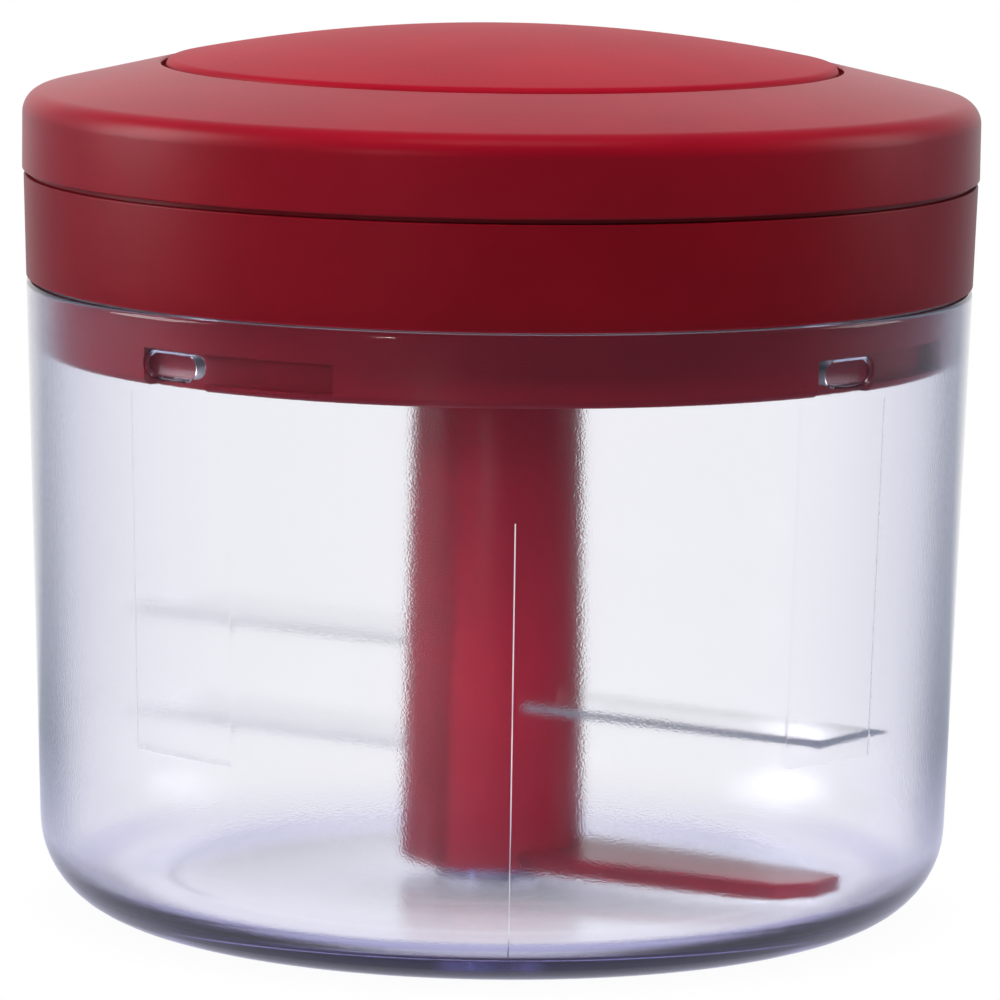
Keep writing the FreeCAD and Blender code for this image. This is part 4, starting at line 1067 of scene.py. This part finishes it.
@dataclass
class Lid(Assembly):
    """Lid base with its ring, plug and bayonet channels, the cover, the pad and the mechanism inside."""

    body: Body = Body.LID
    plug_bottom: float = 73.6
    plug_radius: float = 58.8
    plug_wall: float = 4.0
    floor_top: float = 75.8
    flange: Pair = (84.65, 86.05)  # underside, top
    skirt_bottom: float = 83.3
    groove_radius: float = 61.0
    ring: Triple = (61.9, 62.3, 2.2)  # radius below and above, wall
    seam: Pair = (96.7, 97.3)  # top of the ring, bottom of the cover
    gap_radius: float = 61.6
    boss: Triple = (9.06, 12.06, 84.5)  # bore radius, radius, height of its top
    channel_depth: float = 2.0
    channel_rows: Pair = (74.6, 78.4)  # top of the ledge, top of the channel
    channel_half: float = 4.97
    lock_turn: float = 18.0
    lug_turns: tuple[float, ...] = LUG_TURNS
    post: Triple = (3.3, 32.6, 102.4)  # radius, distance from the axis, height of its top
    cover_radius: float = 62.5
    corner: float = 107.1
    shoulder: float = 3.1
    slope: float = 13.0
    lip_radius: float = 44.5
    seat: float = 110.0
    ceiling: float = 107.8
    skirt: Triple = (58.2, 60.0, 94.3)  # inner radius, outer radius, bottom
    bay_radius: float = 46.5
    bay_half: float = 28.5
    pad_radius: float = 43.9
    pad_edge: Pair = (111.61, 1.2)  # height, rounding
    pad_top: float = 116.15
    pad_rim: float = 1.5
    pad_columns: int = 256
    columns: int = 360
    column_step: float = 0.01  # between doubled columns, in degrees
    row_step: float = 0.02  # between doubled rows

    def bay_edges(self) -> list[float]:
        """Doubled headings at the two sides of the handle's bay, one column step apart."""
        return [90 + s * (self.bay_half + d) for s in (-1, 1) for d in (0.0, self.column_step)]

    def in_bay(self, angles: Array) -> Array:
        """Which headings lie inside the handle's bay."""
        return np.abs(angles - 90) <= self.bay_half + self.column_step / 5

    def base(self) -> Shell:
        """Lid base. The plug's radius drops by the channel's depth inside each channel, and the ring's upper part
        is lowered to the flange inside the bay, with doubled rows and columns at each step.

        Returns:
            The closed shell, with finish 1, the plug's lighter red of painted light, on the plug below the flange.
        """
        low, high, thick = self.ring
        inner = self.plug_radius - self.plug_wall
        bush, boss, boss_top = self.boss
        corners = [
            (bush, self.plug_bottom), (self.plug_radius, self.plug_bottom, 1.2), (self.plug_radius, self.flange[0]),
            (self.groove_radius, self.flange[0]), (self.groove_radius, self.skirt_bottom),
            (low, self.skirt_bottom, 0.25), (high, self.seam[0], 0.25), (high - thick, self.seam[0]),
            (high - thick, self.flange[1]), (inner, self.flange[1]), (inner, self.floor_top, 1.0),
            (boss, self.floor_top, 0.8), (boss, boss_top), (bush, boss_top), (bush, self.plug_bottom)]
        ledge, top = self.channel_rows
        rows = [height + gap for height in (ledge, top, self.flange[1]) for gap in (0.0, self.row_step)]
        profile = with_rows(rounded(corners, 6), rows)[:-1]
        half, step = self.channel_half, self.column_step
        edges = [t + e + d for t in self.lug_turns for e in (-half, half, half + self.lock_turn) for d in (0, step)]
        angles = around(self.columns, edges + self.bay_edges())
        grid = turned(profile, angles)
        r, z = profile[:, 0], profile[:, 1]
        sunk = np.zeros((len(angles), len(profile)), bool)
        outside = (r > inner + 0.1) & (r < self.plug_radius + 0.1)
        for t in self.lug_turns:
            past = np.mod(angles - t + half - step / 2, 360)
            entry, run = past < 2 * half, past < 2 * half + self.lock_turn
            below = outside & (z < top + self.row_step / 2)
            sunk |= entry[:, None] & below[None] | run[:, None] & (below & (z > ledge + self.row_step / 2))[None]
        length, floor = np.linalg.norm(grid[..., :2], axis=-1), self.plug_radius - self.channel_depth
        share = np.where(sunk & (length > floor), floor / np.maximum(length, 1), 1)
        grid[..., :2] *= share[..., None]
        cut = self.in_bay(angles)[:, None] & ((r > high - thick - 0.1) & (z > self.flange[1]))[None]
        grid[..., 2] = np.where(cut, self.flange[1], grid[..., 2])
        radius, place, height = self.post
        posts = []
        for i in range(3):
            foot = self.floor_top - 1
            post = lathe([(0, foot), (radius, foot), (radius, height), (0, height)], 32, closed=False)
            post.points[:, 0] += place
            posts.append(post.turned_by(120 * i - 90))
        # faces below the flange take the plug's lighter red: painted light
        behind = (np.maximum(z, np.roll(z, -1)) < self.flange[0] + 0.1)[None] + np.zeros((len(angles), 1), int)
        return Shell.join([Shell.grid(grid, wrap_v=True, finish=behind), *posts])

    def cover(self) -> Shell:
        """Cover. Inside the bay each point past the bay's radius is drawn in to it and kept between the cover's
        underside and its top there.

        Returns:
            The closed shell.
        """
        slope = math.tan(math.radians(self.slope))
        inner, outer, bottom = self.skirt
        lip = self.corner + (self.cover_radius - self.lip_radius) * slope
        under = self.ceiling - (inner - self.lip_radius) * slope
        ring_top = self.seam[0] + 0.05
        corners = [
            (0, self.seat), (self.lip_radius, self.seat), (self.lip_radius, lip, 0.35),
            (self.cover_radius, self.corner, self.shoulder), (self.cover_radius, self.seam[1], 0.25),
            (self.gap_radius, self.seam[1]), (self.gap_radius, ring_top), (outer, ring_top), (outer, bottom),
            (inner, bottom), (inner, under), (self.lip_radius, self.ceiling), (0, self.ceiling)]
        profile = rounded(corners, 12)
        angles = around(self.columns, self.bay_edges())
        r, z = profile[:, 0], profile[:, 1]
        top = self.corner + (self.cover_radius - self.bay_radius) * slope
        below = self.ceiling - (self.bay_radius - self.lip_radius) * slope
        held = np.stack([np.full_like(r, self.bay_radius), np.clip(z, below, top)], -1)
        drawn = np.where((r > self.bay_radius)[:, None], held, profile)
        inside = self.in_bay(angles)[:, None, None]
        return Shell.grid(np.where(inside, turned(drawn, angles), turned(profile, angles)))

    def pad(self) -> Shell:
        """Grip pad: a shallow dome, z = edge + crown * (1 - (r / radius)^2), over a rounded rim.

        Returns:
            The closed shell.
        """
        edge, rim = self.pad_edge
        r = np.linspace(self.pad_radius - self.pad_rim, 0, 40)
        crown = self.pad_top - edge
        dome = np.stack([r, edge + crown * (1 - (r / self.pad_radius) ** 2)], -1)
        skirt = rounded([(0, self.seat), (self.pad_radius, self.seat, 0.2), (self.pad_radius, edge, rim), dome[0]], 10)
        return Shell.grid(turned(np.concatenate([skirt[:-1], dome]), around(self.pad_columns)))

    def build(self) -> None:
        """Makes the base, the cover and the pad, and dresses what is inside."""
        for name, shell, kinds, slot, node in (
                ("lid_base_red", self.base(), (RING_RED, PLUG_RED_PAINTED_LIGHT), "ring_plastic", "lid_base"),
                ("cover_red", self.cover(), (COVER_RED,), "cover_plastic", "lid_cover"),
                ("pad_red", self.pad(), (PAD_RED,), "pad_plastic", "top_pad")):
            self.fit(piece(name, shell, [self.finish(kind) for kind in kinds]), slot, node)
        for node, kind, slot, width in (
                ("handle_bay", BAY_RED, "cover_plastic", 0.25), ("cord_eyelet", NATURAL, "mechanism_plastic", 0.15)):
            self.fit(softened(node + "_soft", node, self.finish(kind), width), slot, node)


@dataclass
class LidSeal(Assembly):
    """Soft ring under the lid's flange, with a rounded lip that meets the bowl's rim."""

    body: Body = Body.SEAL
    inner: float = 58.9
    outer: float = 60.9
    rows: Pair = (83.1, 84.55)
    lip: float = 0.6
    waist: float = 0.25

    def build(self) -> None:
        """Turns the ring: round below, with a shallow groove in its outer and inner faces."""
        low, high = self.rows
        middle = (low + high) / 2 + 0.1
        profile = [(self.inner, low, self.lip), (self.outer, low, self.lip), (self.outer, middle - 0.2, 0.1),
                   (self.outer - self.waist, middle, 0.1), (self.outer, middle + 0.2, 0.1), (self.outer, high, 0.2),
                   (self.inner, high, 0.2), (self.inner, middle + 0.2, 0.1), (self.inner + self.waist, middle, 0.1),
                   (self.inner, middle - 0.2, 0.1)]
        ring = lathe(profile, count=256, steps=5)
        self.fit(piece("seal_ring", ring, [self.finish(SILICONE)], Shade.SMOOTH), "seal_rubber", "lid_seal")


@dataclass
class CordDrive(Assembly):
    """Cord and recoil spring, with the turned and moulded pieces of the drive inside the lid."""

    body: Body = Body.LID
    cord_radius: float = 1.0
    wound_radius: float = 21.05
    pitch: float = 2.6
    turns: float = 3.0
    cord_height: float = 99.5
    bend: float = 6.0
    bend_at: float = 44.5
    free_from: float = 46.8
    free_to: float = 52.0
    cord_end: float = 59.3
    strands: int = 4
    lay: float = 3.6
    relief: float = 0.07
    sides: int = 24
    wound_points: int = 1100
    free_points: int = 90
    strip: Triple = (4.2, 17.1, 0.4)  # first and last radius, thickness
    half_turns: int = 12
    strip_round: float = 0.12

    def cord_path(self) -> Array:
        """Centre line of the cord: a short straight end, a helix on the spool, the tangent to the bend, the bend
        and the straight run out through the eyelet into the handle.

        Returns:
            Points of shape (points, 3), close together between the eyelet and the handle, where the cord draws out.
        """
        leave = math.asin(self.wound_radius / self.bend_at)
        first = leave - self.turns * 2 * math.pi
        low = self.cord_height - self.pitch * self.turns
        part = np.linspace(0, 1, self.wound_points)
        angle = first + (leave - first) * part
        wound = np.stack([self.wound_radius * np.cos(angle), self.wound_radius * np.sin(angle),
                          low + (self.cord_height - low) * part], -1)
        way = np.array([-math.sin(first), math.cos(first), 0])
        tail = np.array([-math.sin(leave), math.cos(leave), 0])
        corner = np.array([0, self.bend_at, self.cord_height])
        back = self.bend * math.tan(leave / 2)
        entry, out = corner - tail * back, corner + np.array([0, back, 0])
        centre = out + np.array([-self.bend, 0, 0])
        turn = np.linspace(-leave, 0, 12)[:, None]
        arc = centre + self.bend * np.concatenate([np.cos(turn), np.sin(turn), np.zeros_like(turn)], 1)
        straight = np.concatenate([np.linspace(out[1], self.free_from, 8)[1:-1],
                                   np.linspace(self.free_from, self.free_to, self.free_points)[:-1],
                                   np.linspace(self.free_to, self.cord_end, 20)])
        run = np.stack([np.zeros_like(straight), straight, np.full_like(straight, self.cord_height)], -1)
        start = wound[0] - way * 2 * self.cord_radius
        return np.concatenate([start + (wound[0] - start) * np.linspace(0, 1, 6)[:-1, None], wound,
                               wound[-1] + (entry - wound[-1]) * np.linspace(0, 1, 60)[1:-1, None], arc, run])

    def cord(self) -> Shell:
        """Braided tube. Two sets of strands cross: radius = r - relief * (1 - cos(n a + k s) cos(n a - k s)) / 2,
        where a is the angle round the cord, s the length along it and k a turn for each lay.

        Returns:
            The closed shell.
        """
        path = self.cord_path()
        steps = np.linalg.norm(np.diff(path, axis=0), axis=1)
        along = np.concatenate([[0], np.cumsum(steps)])[:, None] * 2 * math.pi / self.lay
        a = np.linspace(0, 2 * math.pi, self.sides, endpoint=False)[None]
        cross = np.cos(self.strands * a + along) * np.cos(self.strands * a - along)
        radius = self.cord_radius - self.relief * (1 - cross) / 2
        rings = carried(np.stack([radius * np.cos(a), radius * np.sin(a)], -1), path)
        return Shell.grid(rings, wrap_u=False, wrap_v=True, caps=True)

    def spring(self) -> Shell:
        """Flat spiral strip of half turns. Half turn i has radius r0 + i g about a centre that lies at 0 or g in
        turn, where g is what each adds.

        Returns:
            The closed shell.
        """
        first, last, thick = self.strip
        low, high = (corner[2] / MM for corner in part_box("recoil_spring"))
        growth = (last - first) / self.half_turns
        angle = np.linspace(0, self.half_turns * math.pi, self.half_turns * 32 + 1)
        half = np.minimum(angle // math.pi, self.half_turns - 1)
        radius, centre = first + half * growth, np.mod(half, 2) * growth
        level = np.full_like(angle, (low + high) / 2)
        path = np.stack([centre + radius * np.cos(angle), radius * np.sin(angle), level], -1)
        x, y, edge = thick / 2, (high - low) / 2, self.strip_round
        section = rounded([(-x, -y, edge), (x, -y, edge), (x, y, edge), (-x, y, edge)], 3, True)
        return Shell.grid(carried(section, path), wrap_u=False, wrap_v=True, caps=True)

    def build(self) -> None:
        """Makes the cord and the spring, and dresses the nodes that turn, hold and catch."""
        cord = piece("cord_braided", self.cord(), [self.finish(CORD_BRAID)], Shade.SMOOTH)
        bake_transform(cord)
        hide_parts("pull_cord")
        log.info("%s: %d faces, drawn out between lid and handle", cord.name, len(cord.data.polygons))
        spring = piece("recoil_spring_strip", self.spring(), [self.finish(SPRING_STEEL)])
        self.fit(spring, "spring_steel", "recoil_spring")
        self.dress(NATURAL, "shaft_bush", "cord_spool", "spring_cover", "drive_hub")
        self.dress(TURNED_STEEL, "mechanism_plate", "plate_screws", "spring_arbor", "retainer_washer", "arbor_screw",
                   "pawl_a", "pawl_b")
        self.dress(SPRING_STEEL, "pawl_spring_a", "pawl_spring_b")


@dataclass
class PullHandle(Assembly):
    """Pull handle in its bay at the back of the lid, with the cap over the cord's ferrule."""

    body: Body = Body.HANDLE
    edge: float = 0.6
    cap_edge: float = 0.2

    def build(self) -> None:
        """Rounds the handle and its cap, and dresses the ferrule."""
        red = self.finish(COVER_RED)
        self.fit(softened("handle_soft", "pull_handle", red, self.edge), "handle_plastic", "pull_handle")
        self.fit(softened("handle_cap_soft", "handle_cap", red, self.cap_edge), "handle_plastic", "handle_cap")
        self.dress(TURNED_STEEL, "cord_ferrule")


@dataclass(frozen=True)
class Lamp:
    """One soft lamp that faces a point on the object's axis. Lengths are metres, the spread is in degrees."""

    name: str
    place: Triple
    size: Pair
    power: float
    aim: float = 0.06
    spread: float = 180.0
    mirrored: bool = True

    def build(self) -> None:
        """Makes the lamp."""
        data = bpy.data.lights.new(self.name, "AREA")
        data.shape, data.size, data.size_y, data.energy = "RECTANGLE", self.size[0], self.size[1], self.power
        data.spread = math.radians(self.spread)
        thing = placed(self.name, data)
        thing.location = self.place
        thing.rotation_euler = (Vector((0, 0, self.aim)) - Vector(self.place)).to_track_quat("-Z", "Y").to_euler()
        thing.visible_glossy = self.mirrored


@dataclass
class Studio:
    """Plain pale floor, soft light and the photograph's camera. Lengths are metres here."""

    distance: float = 0.875
    height: float = 0.1809
    azimuth: float = -2.0
    yaw: float = 0.03
    pitch: float = 8.265
    roll: float = 0.795
    lens: float = 241.66
    fill: float = 0.03
    surround: tuple[Pair, ...] = (  # cosine of the angle to +Y, brightness
        (-1.0, 0.14), (-0.7, 0.13), (-0.3, 0.14), (0.0, 0.22), (0.5, 0.3), (0.8, 0.48), (0.88, 0.9), (0.94, 1.0))
    cool: Triple = (-0.25, -0.1, 0.2)  # colour that middling brightness gains
    glow: tuple[float, float, float, float] = (0.085, 0.15, 0.8, 0.0)  # distances, and shares there
    fade: tuple[float, float, float, float] = (0.046, 0.064, 0.94, 1.0)  # distances, and shares of white there
    floor_colour: Triple = (0.40, 0.40, 0.42)
    floor_half: float = 6.0
    floor_height: float = -0.0002
    glow_colour: Triple = (0.82, 0.82, 1.0)
    lamps: tuple[Lamp, ...] = (
        Lamp("top", (0.0, -0.36, 1.06), (0.6, 0.35), 12.0, mirrored=False),
        Lamp("low", (-0.2, -0.68, 0.03), (0.10, 0.04), 0.011, 0.025, 7.0, False),
        Lamp("front", (-0.35, -0.62, 0.25), (0.10, 0.05), 0.003, 0.045, 9.0),
        Lamp("left", (-1.1, 0.1, 0.45), (0.5, 0.8), 8.0),
        Lamp("right", (1.15, 0.2, 0.45), (0.4, 0.8), 3.0))

    def camera(self) -> None:
        """Camera from its distance, height and angles. Its axes are turned about the upright axis by the azimuth."""
        yaw, pitch, roll = (math.radians(v) for v in (self.yaw, self.pitch, self.roll))
        ahead = Vector((math.sin(yaw) * math.cos(pitch), math.cos(yaw) * math.cos(pitch), -math.sin(pitch)))
        right = Vector((math.cos(yaw), -math.sin(yaw), 0))
        up = right.cross(ahead)
        right, up = right * math.cos(roll) + up * math.sin(roll), up * math.cos(roll) - right * math.sin(roll)
        axes = Matrix((right, up, -ahead)).transposed().to_4x4()
        axes.translation = Vector((0, -self.distance, self.height))
        data = bpy.data.cameras.new("photo_camera")
        data.lens, data.sensor_width, data.sensor_fit = self.lens, 36, "HORIZONTAL"
        data.clip_start, data.clip_end = 0.05, 50
        thing = placed("photo_camera", data)
        thing.matrix_world = Matrix.Rotation(math.radians(self.azimuth), 4, "Z") @ axes
        bpy.context.scene.camera = thing

    def seen(self, sheet: Nodes) -> Socket:
        """1 for what the eye sees, directly, in gloss or through something clear, and 0 for diffuse light.

        Args:
            sheet: Nodes of the material or world.

        Returns:
            The socket.
        """
        path = sheet.add("LightPath").outputs
        found = path["Is Camera Ray"]
        for name in ("Is Glossy Ray", "Is Transmission Ray"):
            found = sheet.math("MAXIMUM", found, path[name])
        return found

    def lit(self, sheet: Nodes, way: Socket, least: Socket | None = None) -> Socket:
        """Colour of the surround: white for what is seen directly or through something clear. A ray that has been
        reflected finds a white backdrop behind the object, dimmer sides and a dark room on the camera's side.

        Args:
            sheet: Nodes of the material or world.
            way: Direction from the object.
            least: What the reflected surround never falls below, if it has such a part.

        Returns:
            The socket.
        """
        back = sheet.add("SeparateXYZ", Vector=way).outputs["Y"]
        stops = [((place + 1) / 2, tuple(value + (1 - value) * value * c for c in self.cool))
                 for place, value in self.surround]
        found = sheet.ramp(sheet.mapped(back, (-1.0, 1.0)), stops)
        direct = sheet.math("LESS_THAN", sheet.add("LightPath").outputs["Glossy Depth"], 0.5)
        for part, colour in ((least, self.glow_colour), (direct, (1.0, 1.0, 1.0))):
            if part is not None:
                found = sheet.blend("LIGHTEN", part, found, colour)
        return found

    def floor(self) -> None:
        """Pale floor that fades to plain white away from the object."""
        material = bpy.data.materials.new("pale floor")
        sheet = Nodes(material)
        place = sheet.add("TexCoord").outputs["Object"]
        far, way = (sheet.add("VectorMath", operation=kind) for kind in ("LENGTH", "NORMALIZE"))
        for node in (far, way):
            sheet.feed(node, {0: place})
        fade = sheet.mapped(far.outputs["Value"], self.fade[:2], self.fade[2:])
        glow = sheet.mapped(far.outputs["Value"], self.glow[:2], self.glow[2:])
        pale = sheet.add("BsdfDiffuse", Color=(*self.floor_colour, 1))
        white = sheet.add("Emission", Color=self.lit(sheet, way.outputs["Vector"], glow), Strength=1.0)
        sheet.surface(sheet.mix(sheet.math("MULTIPLY", fade, self.seen(sheet)), pale, white))
        mesh = bpy.data.meshes.new("floor")
        half, z = self.floor_half, self.floor_height
        mesh.from_pydata([(-half, -half, z), (half, -half, z), (half, half, z), (-half, half, z)], [], [(0, 1, 2, 3)])
        mesh.materials.append(material)
        placed("floor", mesh)

    def world(self) -> None:
        """White surround for the eye, for gloss and for what shows through, and softer for diffuse light.

        Its brightness for reflections goes by the cosine of the angle to +Y.
        """
        world = bpy.data.worlds.new("studio")
        bpy.context.scene.world = world
        sheet = Nodes(world)
        soft = sheet.add("Background", Color=(0.95, 0.97, 1.0, 1), Strength=self.fill)
        way = sheet.add("TexCoord").outputs["Generated"]
        white = sheet.add("Background", Color=self.lit(sheet, way), Strength=1.0)
        sheet.surface(sheet.mix(self.seen(sheet), soft, white), "OutputWorld")

    def build(self) -> None:
        """Makes the whole stage."""
        self.floor()
        self.world()
        for lamp in self.lamps:
            lamp.build()
        self.camera()
        bpy.context.scene.view_settings.view_transform = "Standard"


def corners(box: tuple[Vector, Vector]) -> list[list[float]]:
    """Two corners as plain lists of numbers."""
    return [list(box[0]), list(box[1])]


def main() -> None:
    """Builds every sub-assembly and the stage."""
    logging.basicConfig(level=logging.INFO, format="%(name)s %(message)s")
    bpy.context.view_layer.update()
    for assembly in (Bowl(), BladeUnit(), Lid(), LidSeal(), CordDrive(), PullHandle()):
        assembly.build()
    Studio().build()
    bpy.context.view_layer.update()


if __name__ == "__main__":
    main()
